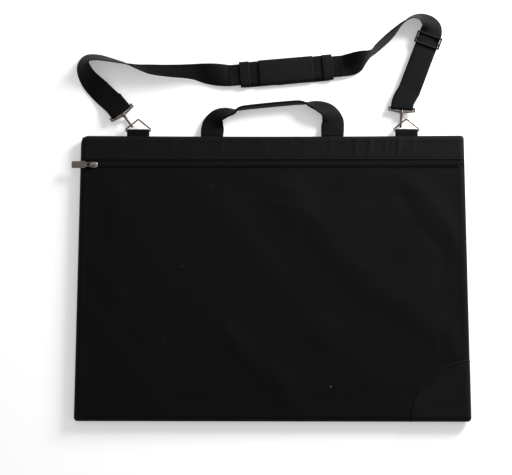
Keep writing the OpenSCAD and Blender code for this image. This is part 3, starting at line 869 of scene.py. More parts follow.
@dataclass(frozen=True)
class Gather:
    """What a row of stitches does to the cloth: it pulls in a groove, with puckers beside it.

    Distances are from the edge that the stitches follow.
    """

    at: float
    depth: float
    width: float
    pucker_at: float
    pucker: float
    spread: float
    pace: float
    wave: float
    seed: int

    def shape(self, total: Array, away: Array, turn: Array, ups: Array) -> Array:
        """Adds the groove and the puckers to the cloth.

        Args:
            total: Height of the cloth so far.
            away: Distance of each place from the edge.
            turn: How far along the puckers each place is, as an angle.
            ups: How high the puckers stand there, as a share.

        Returns:
            The new height.
        """
        total = total - self.depth * bell(away - self.at, self.width)
        return total + (self.pucker * np.sin(turn * self.pace) * ups
                        * bell(away - self.pucker_at, self.spread))


# The hem all round, and the folded edge beside the zip
HEM = Gather(8, 0.3, 0.9, 16, 0.12, 7, 1.0, 110, 6)
ZIP_EDGE = Gather(4, 0.35, 0.8, 6, 0.1, 5, 1.3, 90, 9)


@dataclass
class Case:
    """The sewn case: two padded faces joined by a seam, a band above the zip, a corner patch.

    The cloth curls round the edge to the seam, so a place on a skin is given by how far it lies
    along the cloth from the left seam and from the bottom seam.
    """

    low: Vector = field(default_factory=lambda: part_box("back_panel")[0] / MM)
    high: Vector = field(default_factory=lambda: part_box("top_band")[1] / MM)
    lower_fold: float = field(default_factory=lambda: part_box("front_panel")[1].y / MM)
    upper_fold: float = field(default_factory=lambda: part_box("top_band")[0].y / MM)
    patch_reach: float = field(default_factory=lambda: (
        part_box("corner_patch")[1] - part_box("corner_patch")[0]).x / MM)
    edge: float = 9.0
    dip: float = 0.35
    hem: float = 10.0
    skin: float = 0.8
    fold_round: float = 2.4
    corner: float = 5.5
    worn_corner: float = 12.0
    welt: float = 0.9
    sag: float = 1.7
    pucker: float = 12.5
    layer: float = 0.3
    lap: float = 0.1
    fold_drop: float = 1.2
    step: float = 5.5
    band_step: float = 2.6
    patch_skin: float = 0.6
    patch_start: float = 2.0

    @property
    def half(self) -> tuple:
        """Half the width and half the height."""
        return self.high.x, self.high.y

    @property
    def seam(self) -> float:
        """Height of the seam between the two faces."""
        return (self.high.z + self.low.z) / 2

    @property
    def quarter(self) -> float:
        """Length of cloth that curls round one side."""
        return self.edge * math.pi / 2

    def span(self, half: float) -> float:
        """Length of cloth from seam to seam."""
        return 2 * (half - self.edge + self.quarter)

    def curl(self, t: Array, half: float) -> tuple:
        """Follows the cloth from one seam over the face to the other.

        Args:
            t: Distance along the cloth.
            half: Half the case's size that way.

        Returns:
            The place across, and the share of the full height.
        """
        rest = np.minimum(t, self.span(half) - t)
        turn = np.clip(rest / self.edge, 0, math.pi / 2)
        out = half - self.edge * (1 - np.cos(turn)) - np.maximum(rest - self.quarter, 0)
        return np.where(t < self.span(half) / 2, -out, out), np.sin(turn)

    def along(self, place: float, half: float) -> float:
        """Distance along the cloth of a place on the flat of a face."""
        return place + half - self.edge + self.quarter

    def corner_size(self, sx: int, sy: int) -> float:
        """Radius of the corner on the given sides. The upper left one is worn rounder."""
        return self.worn_corner if (sx, sy) == (-1, 1) else self.corner

    def rounded(self, x: Array, y: Array) -> tuple:
        """Rounds the four corners.

        Args:
            x: Places across.
            y: Places up.

        Returns:
            The places, moved inwards at the corners.
        """
        for sx, sy in ((-1, -1), (1, -1), (1, 1), (-1, 1)):
            size = self.corner_size(sx, sy)
            u = (sx * x - (self.half[0] - size)) / size
            v = (sy * y - (self.half[1] - size)) / size
            here = (u > 0) & (v > 0)
            du = u * np.sqrt(np.clip(1 - v * v / 2, 0, 1)) - u
            dv = v * np.sqrt(np.clip(1 - u * u / 2, 0, 1)) - v
            x = x + np.where(here, sx * size * du, 0)
            y = y + np.where(here, sy * size * dv, 0)
        return x, y

    def bow(self, x: Array, y: Array) -> Array:
        """How far the top edge lies off a straight line: it dips a little in the middle."""
        return self.sag * ((x / self.half[0]) ** 2 - 0.4) * ease(0.93, 1.0, y / self.half[1])

    def relief(self, part: Part, x: Array, y: Array) -> Array:
        """How far the cloth stands above the padding's plain form.

        Args:
            part: Which skin.
            x: Places across.
            y: Places up.

        Returns:
            The height at each place.
        """
        side = self.half[0] - np.abs(x)
        low, high = y + self.half[1], self.half[1] - y
        if part is Part.BACK:
            rim = np.minimum(side, np.minimum(low, high))
            return ease(4, 26, rim) * (0.35 * ripple(x, y, 90, 11) - 0.5)
        if part is Part.BAND:
            rim, fold = np.minimum(side, high), y - self.upper_fold
        else:
            rim, fold = np.minimum(side, low), self.lower_fold - y
        run = np.where(side < np.minimum(low, high), y, x)
        turn = 2 * np.pi * run / self.pucker + 2.5 * ripple(x, y, 60, 5)
        # The turned-in hem is a layer thicker
        total = self.layer * (1 - ease(self.hem, self.hem + 3, rim))
        for gather, away in ((HEM, rim), (ZIP_EDGE, fold)):
            total = gather.shape(total, away, turn, ripple(x, y, gather.wave, gather.seed))
        if part is Part.FRONT:
            calm = ease(4, 26, rim) * ease(2, 34, fold)
            waves = sum(f.rise(x, y) for f in FOLDS)
            return total + calm * (waves + 0.3 * ripple(x, y, 75, 3)
                                   + 0.1 * ripple(x, y, 24, 4) - 0.3)
        for place, height in PLEATS:
            lean = place + 0.1 * (y - self.upper_fold)
            total = total + (height * bell(x - lean, 3.2) * ease(3, 16, fold)
                             * ease(2, 10, rim))
        return total + 0.18 * ripple(x, y, 38, 8) * ease(3, 12, fold)

    def surface(self, part: Part, a: Array, b: Array) -> Array:
        """Points of a skin's outer face.

        Args:
            part: Which skin.
            a: Distance along the cloth from the left seam.
            b: Distance along the cloth from the bottom seam.

        Returns:
            Their x, y and z.
        """
        x, ux = self.curl(a, self.half[0])
        y, uy = self.curl(b, self.half[1])
        up = ux * uy
        sign = -1 if part is Part.BACK else 1
        tuck = self.dip * (1 - ease(0, 0.35, up))
        rise = self.relief(part, x, y) * ease(0.55, 0.95, up)
        z = self.seam + sign * (self.lap + (self.high.z - self.seam - self.lap) * up + rise)
        if part is not Part.BACK:
            fold = (y - self.upper_fold) if part is Part.BAND else (self.lower_fold - y)
            bend = np.clip(1 - fold / self.fold_round, 0, 1)
            z = z - self.fold_drop * up * (1 - np.sqrt(1 - bend * bend))
        x, y = self.rounded(x, y)
        x = x - np.sign(x) * tuck * (ux < 0.999)
        y = y - np.sign(y) * tuck * (uy < 0.999) + self.bow(x, y)
        return np.stack([x, y, z], -1)

    def normal(self, part: Part, a: Array, b: Array) -> Array:
        """Directions out of a skin.

        Args:
            part: Which skin.
            a: Distance along the cloth from the left seam.
            b: Distance along the cloth from the bottom seam.

        Returns:
            A direction of length 1 for each place.
        """
        step = 0.4
        across = self.surface(part, a + step, b) - self.surface(part, a - step, b)
        along = self.surface(part, a, b + step) - self.surface(part, a, b - step)
        out = np.cross(across, along)
        if part is Part.BACK:
            out = -out
        return out / np.maximum(np.linalg.norm(out, axis=-1, keepdims=True), 1e-9)

    def skin_of(self, part: Part, name: str, finish: Finish, node: str) -> Piece:
        """Builds one skin, with its thickness and its dressing.

        Args:
            part: Which skin.
            name: The new piece's name.
            finish: Its cloth.
            node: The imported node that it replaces.

        Returns:
            The skin.
        """
        wide, tall = self.span(self.half[0]), self.span(self.half[1])
        near = self.quarter + self.hem - 6
        first = self.along(self.upper_fold, self.half[1]) if part is Part.BAND else 0.0
        last = self.along(self.lower_fold, self.half[1]) if part is Part.FRONT else tall
        step = self.band_step if part is Part.BAND else self.step
        a = spaced(wide, ((0, near), (wide - near, wide)), step, 1.3)
        fine = [(0, near - first), (tall - near - first, tall - first)]
        if part is Part.BAND:
            fine.append((0, 6))
        elif part is Part.FRONT:
            fine.append((last - first - 6, last - first))
        b = first + spaced(last - first, fine, step, 1.0)
        aa, bb = np.meshgrid(a, b)
        points = self.surface(part, aa, bb).reshape(-1, 3)
        flat = np.stack([aa, bb], -1).reshape(-1, 2)
        piece = make_piece(name, points, grid_faces(len(b), len(a)), flat)
        self.face_out(piece, part)
        if part is Part.FRONT:
            rim = np.minimum(np.minimum(aa, wide - aa), np.minimum(bb, last - bb))
            puff(piece, 1.2, 1.2, 1 - 0.98 * ease(24, 60, rim).ravel())
        thicken(piece, self.skin)
        smooth = piece.modifiers.new("smoothness", "SUBSURF")
        smooth.levels = smooth.render_levels = 1
        dress(piece, finish, "case", [node])
        return piece

    @staticmethod
    def face_out(piece: Piece, part: Part) -> None:
        """Turns a skin's faces outwards.

        Args:
            piece: The skin.
            part: Which skin it is.
        """
        up = sum(p.normal.z * p.area for p in piece.data.polygons)
        if (up < 0) != (part is Part.BACK):
            piece.data.flip_normals()

    def row(self, part: Part, a: Array, b: Array) -> tuple:
        """A stitch row on a skin, as points and outward directions."""
        a, b = np.broadcast_arrays(np.asarray(a, float), np.asarray(b, float))
        return self.surface(part, a, b), self.normal(part, a, b)

    def stitches(self) -> None:
        """Sews the hems, the zip's folded edges and the back."""
        wide, tall = self.span(self.half[0]), self.span(self.half[1])
        reach = self.quarter - self.edge + HEM.at
        low = self.along(self.lower_fold, self.half[1]) - ZIP_EDGE.at
        high = self.along(self.upper_fold, self.half[1]) + ZIP_EDGE.at
        across = np.arange(reach, wide - reach, 1.0)
        for part, start, end in ((Part.FRONT, reach, low), (Part.BAND, high, tall - reach),
                                 (Part.BACK, reach, tall - reach)):
            up = np.arange(start, end, 1.0)
            ends = (end, start) if part is Part.FRONT else (start, end)
            rows = [self.row(part, across, b) for b in ends]
            rows += [self.row(part, a, up) for a in (reach, wide - reach)]
            Thread().sew(f"{part.value}_stitching", rows, "case")

    def patch(self) -> None:
        """Builds the quarter-round patch over the lower right corner, and sews it on."""
        wide, start = self.span(self.half[0]), self.patch_start
        reach = self.patch_reach + self.quarter - self.edge
        share = spaced(1.0, ((0.8, 1.0), (0.0, 0.16)), 0.035, 0.011)
        p, q = np.meshgrid(share, share)
        u = p * np.sqrt(1 - q * q / 2)
        v = q * np.sqrt(1 - p * p / 2)
        a, b = wide - start - (reach - start) * u, start + (reach - start) * v
        # The round edge is turned under, so it is thicker there, with a groove at its stitches
        inward = (1 - np.hypot(u, v)) * (reach - start)
        lift = 0.2 + 0.75 * ease(0, 0.9, inward) + 0.55 * bell(inward - 2.2, 1.5)
        lift -= 0.35 * bell(inward - 4.6, 0.7)
        points = self.surface(Part.FRONT, a, b) + lift[..., None] * self.normal(Part.FRONT, a, b)
        piece = make_piece("corner_patch_cloth", points.reshape(-1, 3),
                           grid_faces(len(share), len(share)),
                           np.stack([a, b], -1).reshape(-1, 2))
        self.face_out(piece, Part.FRONT)
        thicken(piece, self.patch_skin)
        dress(piece, PATCH, "case", ["corner_patch"])
        turn = np.linspace(0.03, math.pi / 2 - 0.03, 160)
        rows = []
        for inset in (4.6, 10.5):
            a = wide - start - (reach - start - inset) * np.cos(turn)
            b = start + (reach - start - inset) * np.sin(turn)
            points, out = self.row(Part.FRONT, a, b)
            rows.append((points + 0.85 * out, out))
        Thread().sew("patch_stitching", rows, "case")

    def seam_welt(self) -> None:
        """Closes the two faces with the turned seam that runs all round."""
        points = []
        for sx, sy in ((1, -1), (1, 1), (-1, 1), (-1, -1)):
            size = self.corner_size(sx, sy)
            middle = (sx * (self.half[0] - size), sy * (self.half[1] - size))
            first, grow = math.atan2(sy, sx) - math.pi / 4, size - self.dip * 0.9
            for angle in np.linspace(first, first + math.pi / 2, 9):
                points.append((middle[0] + grow * math.cos(angle),
                               middle[1] + grow * math.sin(angle)))
        loop = np.array(points + points[:1])
        reach = running(loop)
        places = np.sort(np.concatenate([np.arange(0, reach[-1], 6.0), reach[:-1]]))
        places = places[np.concatenate([[True], np.diff(places) > 0.05])]
        x, y = np.interp(places, reach, loop[:, 0]), np.interp(places, reach, loop[:, 1])
        ring = np.stack([x, y + self.bow(x, y), np.full(len(places), self.seam)], -1)
        sides = 8
        points, faces = tube(ring, self.welt, sides, True)
        flat = np.stack([np.repeat(places, sides), np.tile(np.arange(sides), len(places))], -1)
        dress(make_piece("seam_welt", points, faces, flat), SHELL, "case")

    def build(self) -> None:
        """Builds the case and finishes what it hides."""
        self.skin_of(Part.BACK, "back_cloth", SHELL, "back_panel")
        self.skin_of(Part.FRONT, "front_cloth", SHELL, "front_panel")
        self.skin_of(Part.BAND, "band_cloth", BAND, "top_band")
        self.patch()
        self.seam_welt()
        self.stitches()
        for node in ("back_lining", "front_lining"):
            coat(node, LINING)
        coat("back_board", BOARD)
        coat("front_foam", FOAM)


# ---------------------------------------------------------------- zip


@dataclass
class Zip:
    """The coil zip: two tapes, two coils that mesh, end stops, a slider and its pull."""

    upper: tuple = field(default_factory=lambda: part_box("zip_tape_upper"))
    lower: tuple = field(default_factory=lambda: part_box("zip_tape_lower"))
    coil: tuple = field(default_factory=lambda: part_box("zip_coil_upper"))
    pitch: float = 1.35
    wire: float = 0.34
    wire_sides: int = 5
    inner: float = -0.35
    tape_skin: float = 0.5
    sink: float = 0.25

    @property
    def middle(self) -> float:
        """The zip's centre line."""
        return (self.upper[0].y + self.lower[1].y) / 2 / MM

    def tape(self, row: ZipHalf) -> None:
        """Builds one tape. Its ends turn down into the side seams.

        Args:
            row: Which tape.
        """
        low, high = self.upper if row is ZipHalf.UPPER else self.lower
        half, top, seam = high.x / MM, high.z / MM, low.z / MM
        radius = top - seam
        near, far = ((low.y / MM, high.y / MM) if row is ZipHalf.UPPER
                     else (high.y / MM, low.y / MM))
        case = Case(edge=radius)
        long = case.span(half)
        t = spaced(long, ((0, 14), (long - 14, long)), 12.0, 1.5)
        x, up = case.curl(t, half)
        # A cord woven into the tape stands up beside the coil
        share = np.array([0, 0.06, 0.14, 0.2, 0.24, 0.3, 0.42, 0.6, 0.8, 1.0])
        cord = np.array([0, 0, 0.05, 0.28, 0.32, 0.1, 0.05, 0, 0, 0])
        y = near + (far - near) * share
        z = (seam + radius * up)[:, None] + (cord[None] - self.sink) * up[:, None]
        points = np.stack(np.broadcast_arrays(x[:, None], y[None], z), -1)
        flat = np.stack(np.broadcast_arrays(t[:, None], y[None]), -1)
        piece = make_piece(f"{row.value}_tape", points.reshape(-1, 3),
                           grid_faces(len(t), len(share)), flat.reshape(-1, 2))
        Case.face_out(piece, Part.FRONT)
        thicken(piece, self.tape_skin)
        dress(piece, TAPE, "case", [f"zip_tape_{row.value}"])

    def teeth(self, row: ZipHalf) -> None:
        """Winds one coil. The two are half a turn apart, so that their heads mesh.

        Args:
            row: Which coil.
        """
        low, high = self.coil[0] / MM, self.coil[1] / MM
        reach = high.y - self.middle
        wide = (reach - self.inner) / 2 - self.wire
        tall = (high.z - low.z) / 2 - self.wire
        turns = int((high.x - low.x - 2) / self.pitch)
        angle = np.linspace(0, 2 * np.pi * turns, turns * 10 + 1)
        start = 0.49 if row is ZipHalf.UPPER else 0.0
        x = low.x + 1 + self.pitch * (angle / (2 * np.pi) + start)
        y = self.middle + row.sign * ((reach + self.inner) / 2 - wide * np.cos(angle))
        z = (low.z + high.z) / 2 + tall * np.sin(angle)
        points, faces = tube(np.stack([x, y, z], -1), self.wire, self.wire_sides)
        dress(make_piece(f"{row.value}_coil", points, faces), COIL, "case",
              [f"zip_coil_{row.value}"])

    def build(self) -> None:
        """Builds the zip."""
        for row in ZipHalf:
            self.tape(row)
            self.teeth(row)
        soften("zip_stops", "end_stops", DARK_STOP, "case", 0.16, 3)
        soften("zip_slider", "slider", SLIDER, "slider", 0.2, 4)
        soften("zip_pull", "pull_tab", WORN_NICKEL, "pull", 0.28, 3)


# ---------------------------------------------------------------- webbing


def smoothed(knots: Sequence[Sequence[float]], steps: int) -> Array:
    """Runs a smooth route through knots.

    Args:
        knots: Rows of values, of which the first two are a place seen from above.
        steps: How many sections lie between two knots.

    Returns:
        The same values for each section.
    """
    k = np.array(knots, float)
    run = np.hypot(*np.diff(k[:, :2], axis=0).T)
    slope = np.empty_like(k)
    slope[0], slope[-1] = (k[1] - k[0]) / run[0], (k[-1] - k[-2]) / run[-1]
    slope[1:-1] = (k[2:] - k[:-2]) / (run[:-1] + run[1:])[:, None]
    route = []
    for i, length in enumerate(run):
        for u in np.arange(steps) / steps:
            route.append(k[i] * (2 * u**3 - 3 * u**2 + 1)
                         + slope[i] * length * (u**3 - 2 * u**2 + u)
                         + k[i + 1] * (3 * u**2 - 2 * u**3)
                         + slope[i + 1] * length * (u**3 - u**2))
    return np.array(route + [k[-1]])


def toward(angle: Union[float, Array]) -> Array:
    """Direction, seen from above, of a heading in degrees."""
    turn = np.radians(angle)
    return np.stack([np.cos(turn), np.sin(turn)], -1)


@dataclass
class Ribbon:
    """A length of webbing: its middle line, the directions across and out of it, its sizes."""

    centre: list = field(default_factory=list)
    across: list = field(default_factory=list)
    out: list = field(default_factory=list)
    width: list = field(default_factory=list)
    thick: list = field(default_factory=list)

    def lay(self, at: Sequence[float], turn: float, tilt: float, pitch: float, width: float,
            thick: float) -> None:
        """Adds a cross-section.

        Args:
            at: Its middle.
            turn: The heading, in degrees.
            tilt: How far the right edge is raised, in degrees.
            pitch: 0 where the run goes along its heading, 180 where it comes back.
            width: Its width.
            thick: Its thickness.
        """
        turn, tilt, pitch = math.radians(turn), math.radians(tilt), math.radians(pitch)
        side = np.array([-math.sin(turn), math.cos(turn), 0])
        up = np.array([-math.cos(turn) * math.sin(pitch), -math.sin(turn) * math.sin(pitch),
                       math.cos(pitch)])
        self.centre.append(np.array(at, float))
        self.across.append(side * math.cos(tilt) + np.array([0, 0, -math.sin(tilt)]))
        self.out.append(side * math.sin(tilt) + up * math.cos(tilt))
        self.width.append(width)
        self.thick.append(thick)

    def reach(self) -> Array:
        """Distance of each section along the webbing."""
        return running(np.array(self.centre))

    def spot(self, s: Array, v: Array, face: int = 1) -> tuple:
        """Places on the webbing's face.

        Args:
            s: Distances along it.
            v: Distances from its middle line.
            face: 1 for its outer face, -1 for the other.

        Returns:
            The points and the directions out of the face.
        """
        s, v = np.broadcast_arrays(np.asarray(s, float), np.asarray(v, float))
        along = self.reach()

        def at(values: Sequence) -> Array:
            """Values of the sections, between them."""
            return np.stack([np.interp(s, along, row) for row in np.array(values, float).T], -1)

        half = np.interp(s, along, self.thick) / 2
        out = at(self.out) * face
        return at(self.centre) + at(self.across) * v[:, None] + out * half[:, None], out

    @staticmethod
    def outline(width: float, thick: float, groove: float) -> list:
        """Draws a section: two slightly swollen faces with rounded edges between them.

        Args:
            width: Its width.
            thick: Its thickness.
            groove: How deep the gap between folded layers goes.

        Returns:
            Places across and out, all the way round.
        """
        round_off = min(thick / 2, 1.2)
        edge, low = width / 2 - round_off * 0.25, thick / 2 - round_off * 0.45
        places = np.linspace(1, -1, FACE_VERTICES)
        face = [(v * (width / 2 - round_off), thick / 2 + (0.12 * (1 - v * v) - 0.1 * abs(v) ** 6))
                for v in places]
        left = [(-edge, low), (-width / 2 + groove, 0.0), (-edge, -low)]
        right = [(edge, -low), (width / 2, 0.0), (edge, low)]
        return face + left + [(v, -n) for v, n in face[::-1]] + right

    def make(self, name: str, finish: Finish, body: str, nodes: Sequence[str],
             fold: float = 0.0) -> None:
        """Builds the webbing.

        Args:
            name: The piece's name.
            finish: What it is made of.
            body: The body that it moves with.
            nodes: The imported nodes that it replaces.
            fold: How deep the groove between the folded layers goes, on webbing that is
                narrower than its full width.
        """
        full = max(self.width)
        rings, flat = [], []
        for c, a, o, w, t, s in zip(self.centre, self.across, self.out, self.width, self.thick,
                                    self.reach()):
            shut = 1 - ease(0.5 * full, 0.95 * full, np.array(w)) if fold else 0.0
            section = self.outline(w, t, fold * shut)
            rings.append([c + a * v + o * n for v, n in section])
            flat.append([(s, v * full / w) for v, _ in section])
        rings = np.array(rings)
        rings[..., 2] = np.maximum(rings[..., 2], LEAST_LIFT)
        points, faces = sweep(rings)
        piece = make_piece(name, points, faces, np.array(flat).reshape(-1, 2))
        dress(piece, finish, body, nodes)


def anchor(joint: str) -> tuple:
    """Finds a joint in the record.

    Args:
        joint: Its name.

    Returns:
        Its place in millimetres, and the heading of its axis in degrees.
    """
    found = next(j for j in frame["record"]["behaviour"]["joints"] if j["name"] == joint)
    x, y, _ = found["axis"]
    return np.array(found.get("pos_m", (0, 0, 0))) / MM, math.degrees(math.atan2(y, x))


@dataclass
class Strap:
    """The shoulder strap: one length of webbing, folded round a bar at each end.

    Its route is a row of knots: a place, a tilt in degrees and the height of the lower edge.
    The knots of the left run are measured from the left hook's bar, those of the right run
    from the right hook's, and those beside the pad from the pad's middle.
    """

    wide: float = 38.0
    thick: float = 1.8
    fold: float = 2.9
    eye: float = 10.3
    over: float = 9.7
    under: float = 7.6
    steps: int = 8
    left: tuple = (
        (-7.4, 9.4, 0, 9), (-18, 20.4, 0, 4.5), (-26.4, 28.2, 2, 2.3), (-36.6, 37.9, 14, 0.4),
        (-53.6, 54.4, 33, 0), (-63, 69.4, 44, 0), (-65.8, 82.8, 50, 0), (-59.3, 93, 54, 0),
        (-42.3, 94.4, 59, 0), (-27.3, 91.6, 63, 0), (-12.3, 87.9, 67, 0), (1.7, 84.3, 71, 0),
        (14.7, 80, 79, 0), (31.7, 75.2, 88, 0), (48.7, 72.1, 98, 0), (79.7, 69.6, 105, 0))
    before_pad: tuple = ((-161, -5, 116, 0), (-135, -7.4, 142, 1.6))
    after_pad: tuple = ((118, 12, 152, 2.6), (132, 19, 116, 0.4))
    right: tuple = (
        (-53, 93.2, 93, 0), (-43, 102.6, 97, 0), (-26, 118.6, 99, 0), (-11.5, 132.6, 95, 0),
        (4, 148.6, 82, 0), (19, 158.6, 68, 0), (34.5, 160.2, 52, 0), (47, 153.2, 34, 3),
        (52.2, 143.2, 13, 7.2))
    bend: tuple = (2.8, 12.6)
    bend_over: float = 10.4
    bend_under: float = 6.4
    tail: tuple = ((30, 0), (22, 0.4), (14, 2), (7, 4.2))
    double_low: tuple = (13.2, 31.2)
    double_high: tuple = (52.2, 133.2)
    flat_past_pad: float = 17.0
    pad_height: float = 5.6

    def __post_init__(self) -> None:
        """Takes the ends from the hooks and the middle from the pad."""
        self.ends = {}
        for side in Side:
            place, turn = anchor(f"hook_{side.value}_swivel")
            self.ends[side] = (place[:2] - self.eye * toward(turn), turn)
            self.seam = place[2]
        self.pad, self.pad_turn = middle_of("pad_base"), anchor("pad_slide")[1]
        right = self.ends[Side.RIGHT][0]
        self.high = right + self.double_high
        self.double_turn = anchor("adjuster_slide")[1]
        self.double = float(np.hypot(*(right + self.double_low - self.high)))

    def run(self, ribbon: Ribbon, knots: list, first: float, last: float, pitch: float) -> None:
        """Lays the webbing through knots.

        Args:
            ribbon: The webbing.
            knots: Rows of x, y, tilt and the height of the lower edge.
            first: The heading at the start, in degrees.
            last: The heading at the end.
            pitch: 0 for a run out, -180 for the run back under it.
        """
        route = smoothed(knots, self.steps)
        ahead = np.gradient(route[:, :2], axis=0)
        turns = np.degrees(np.arctan2(ahead[:, 1], ahead[:, 0])) - pitch
        turns[0], turns[-1] = first, last
        for (x, y, tilt, lift), turn in zip(route, turns):
            lean = math.radians(tilt)
            z = (max(lift, 0) + self.wide / 2 * abs(math.sin(lean))
                 + self.thick / 2 * abs(math.cos(lean)))
            ribbon.lay((x, y, z), turn, tilt, pitch, self.wide, self.thick)

    def turn_round(self, ribbon: Ribbon, eye: Array, turn: float, start: float,
                   end: float) -> None:
        """Folds the webbing round a hook's bar.

        Args:
            ribbon: The webbing.
            eye: The bar's place.
            turn: The heading away from the bar, in degrees.
            start: The pitch before the fold.
            end: The pitch after it.
        """
        for p in np.linspace(start, end, 15)[1:-1]:
            lean = math.radians(p)
            spot = eye - toward(turn) * math.sin(lean) * self.fold
            ribbon.lay((*spot, self.seam + math.cos(lean) * self.fold), turn, 0, p, self.wide,
                       self.thick)

    @staticmethod
    def moved(knots: Sequence[tuple], origin: Array) -> list:
        """Puts knots that are measured from an origin into the shared frame."""
        return [(origin[0] + x, origin[1] + y, tilt, lift) for x, y, tilt, lift in knots]

    def build(self) -> None:
        """Builds the strap and sews its left end."""
        ribbon, half = Ribbon(), self.thick / 2
        (left, left_turn), (right, right_turn) = self.ends[Side.LEFT], self.ends[Side.RIGHT]
        away = left_turn + 180
        # The sewn tail under the left end, and the fold round the left hook's bar
        for u, z in self.tail + ((0, self.seam - self.fold - half),):
            ribbon.lay((*(left + u * toward(away)), z + half), away, 0, 180, self.wide, self.thick)
        self.turn_round(ribbon, left, away, 180, 0)
        start = len(ribbon.centre)
        # The long run over the pad to the right hook
        length = (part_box("pad_base")[1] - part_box("pad_base")[0]).x / MM
        straight = length / 2 + self.flat_past_pad
        pad = [(*(self.pad + s * toward(self.pad_turn)), 180, self.pad_height)
               for s in (-straight, 6 - straight, straight - 6, straight)]
        along = toward(self.double_turn)
        double = [(*(self.high + s * along), 0, self.over)
                  for s in (0, 3, self.double - 3, self.double)]
        knots = [(*left, 0, self.seam + self.fold - half)]
        knots += self.moved(self.left, left) + self.moved(self.before_pad, self.pad)
        knots += pad + self.moved(self.after_pad, self.pad) + self.moved(self.right, right)
        knots += double + [(*(right + self.bend), 0, self.bend_over),
                           (*right, 0, self.seam + self.fold - half)]
        self.run(ribbon, knots, away, right_turn, 0)
        # The fold round the right hook's bar, and the slack that comes back below
        self.turn_round(ribbon, right, right_turn, 0, -180)
        back = [(*right, 0, self.seam - self.fold - half),
                (*(right + self.bend), 0, self.bend_under)]
        back += [(*(self.high + s * along), 0, self.under)
                 for s in (self.double, self.double - 3, 11, 8)]
        self.run(ribbon, back, right_turn, self.double_turn, -180)
        ribbon.make("shoulder_strap", STRAP, "strap", ["strap_webbing"])
        # A box of stitches with a cross in it holds the left end
        first = ribbon.reach()[start]
        box = np.array([[8, -15], [27, -15], [27, 15], [8, 15], [8, -15], [27, 15], [8, 15],
                        [27, -15]], float)
        rows = [ribbon.spot(first + np.linspace(a[0], b[0], 30), np.linspace(a[1], b[1], 30))
                for a, b in zip(box, box[1:])]
        Thread().sew("strap_stitching", rows, "strap")


@dataclass
class Handle:
    """The carrying handle: webbing laid flat at its ends and folded in half at the grip.

    Each knot is a place from the end's middle at the top seam, a tilt in degrees, the height
    of the lower edge, the share of the full width and the thickness.
    """

    wide: float = 38.0
    thick: float = 1.8
    left: tuple = (
        (0, 0.7, 0, 8.1, 1, 1.8), (0.5, 12, 0, 6.1, 1.03, 1.8), (1.9, 23.2, 8, 3, 0.97, 2),
        (9, 35.6, 28, 1.2, 0.84, 2.8), (22, 41.0, 41, 0.6, 0.8, 3.4),
        (36, 43.7, 55, 0.5, 0.61, 4), (45, 48.1, 84, 0.4, 0.5, 4), (56, 50.8, 90, 0.4, 0.5, 4))
    right: tuple = (
        (-62, 59.4, 90, 0.4, 0.5, 4), (-50, 58.9, 84, 0.4, 0.5, 4),
        (-36, 55.8, 54, 0.5, 0.67, 3.8), (-22, 52.3, 39, 0.8, 0.8, 3.2),
        (-7, 44.3, 25, 1.5, 0.88, 2.6), (0.8, 29.2, 7, 3.2, 0.98, 2),
        (0.5, 16, 0, 6.1, 1.03, 1.8), (0, 0.7, 0, 8.1, 1, 1.8))
    steps: int = 8
    fold: float = 3.4
    grip_start: float = 62.0

    def build(self) -> None:
        """Builds the handle, its sewn ends and its stitches."""
        low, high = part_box("handle_ends")
        reach = (high.x - low.x) / 2 / MM - self.wide / 2
        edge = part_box("top_band")[1].y / MM
        knots = [(side.sign * reach + x, edge + y, tilt, lift, share * self.wide, thick)
                 for side, places in ((Side.LEFT, self.left), (Side.RIGHT, self.right))
                 for x, y, tilt, lift, share, thick in places]
        route, ribbon = smoothed(knots, self.steps), Ribbon()
        ahead = np.gradient(route[:, :2], axis=0)
        turns = np.degrees(np.arctan2(ahead[:, 1], ahead[:, 0]))
        turns[0], turns[-1] = 90, -90
        for (x, y, tilt, lift, width, thick), turn in zip(route, turns):
            lean = math.radians(max(tilt, 0))
            z = max(lift, 0) + width / 2 * math.sin(lean) + thick / 2 * math.cos(lean)
            ribbon.lay((x, y, z), turn, math.degrees(lean), 0, width, thick)
        ribbon.make("carrying_handle", STRAP, "handle", ["handle_webbing"], self.fold)
        total = ribbon.reach()[-1]
        places = np.linspace(self.grip_start, total - self.grip_start, 200)
        rows = [ribbon.spot(places, 6.0), ribbon.spot(places, 6.0, -1)]
        for end, sign in ((0.0, 1), (total, -1)):
            for s in (3, 7):
                rows.append(ribbon.spot(end + sign * s, np.linspace(-16, 16, 30)))
        Thread().sew("handle_stitching", rows, "handle")
        for side in Side:
            end = Ribbon()
            for y in np.linspace(low.y / MM, high.y / MM, 4):
                end.lay((side.sign * reach, y, (low.z + high.z) / 2 / MM), 90, 0, 0, self.wide,
                        self.thick)
            end.make(f"{side.value}_handle_end", STRAP, "case", ["handle_ends"])


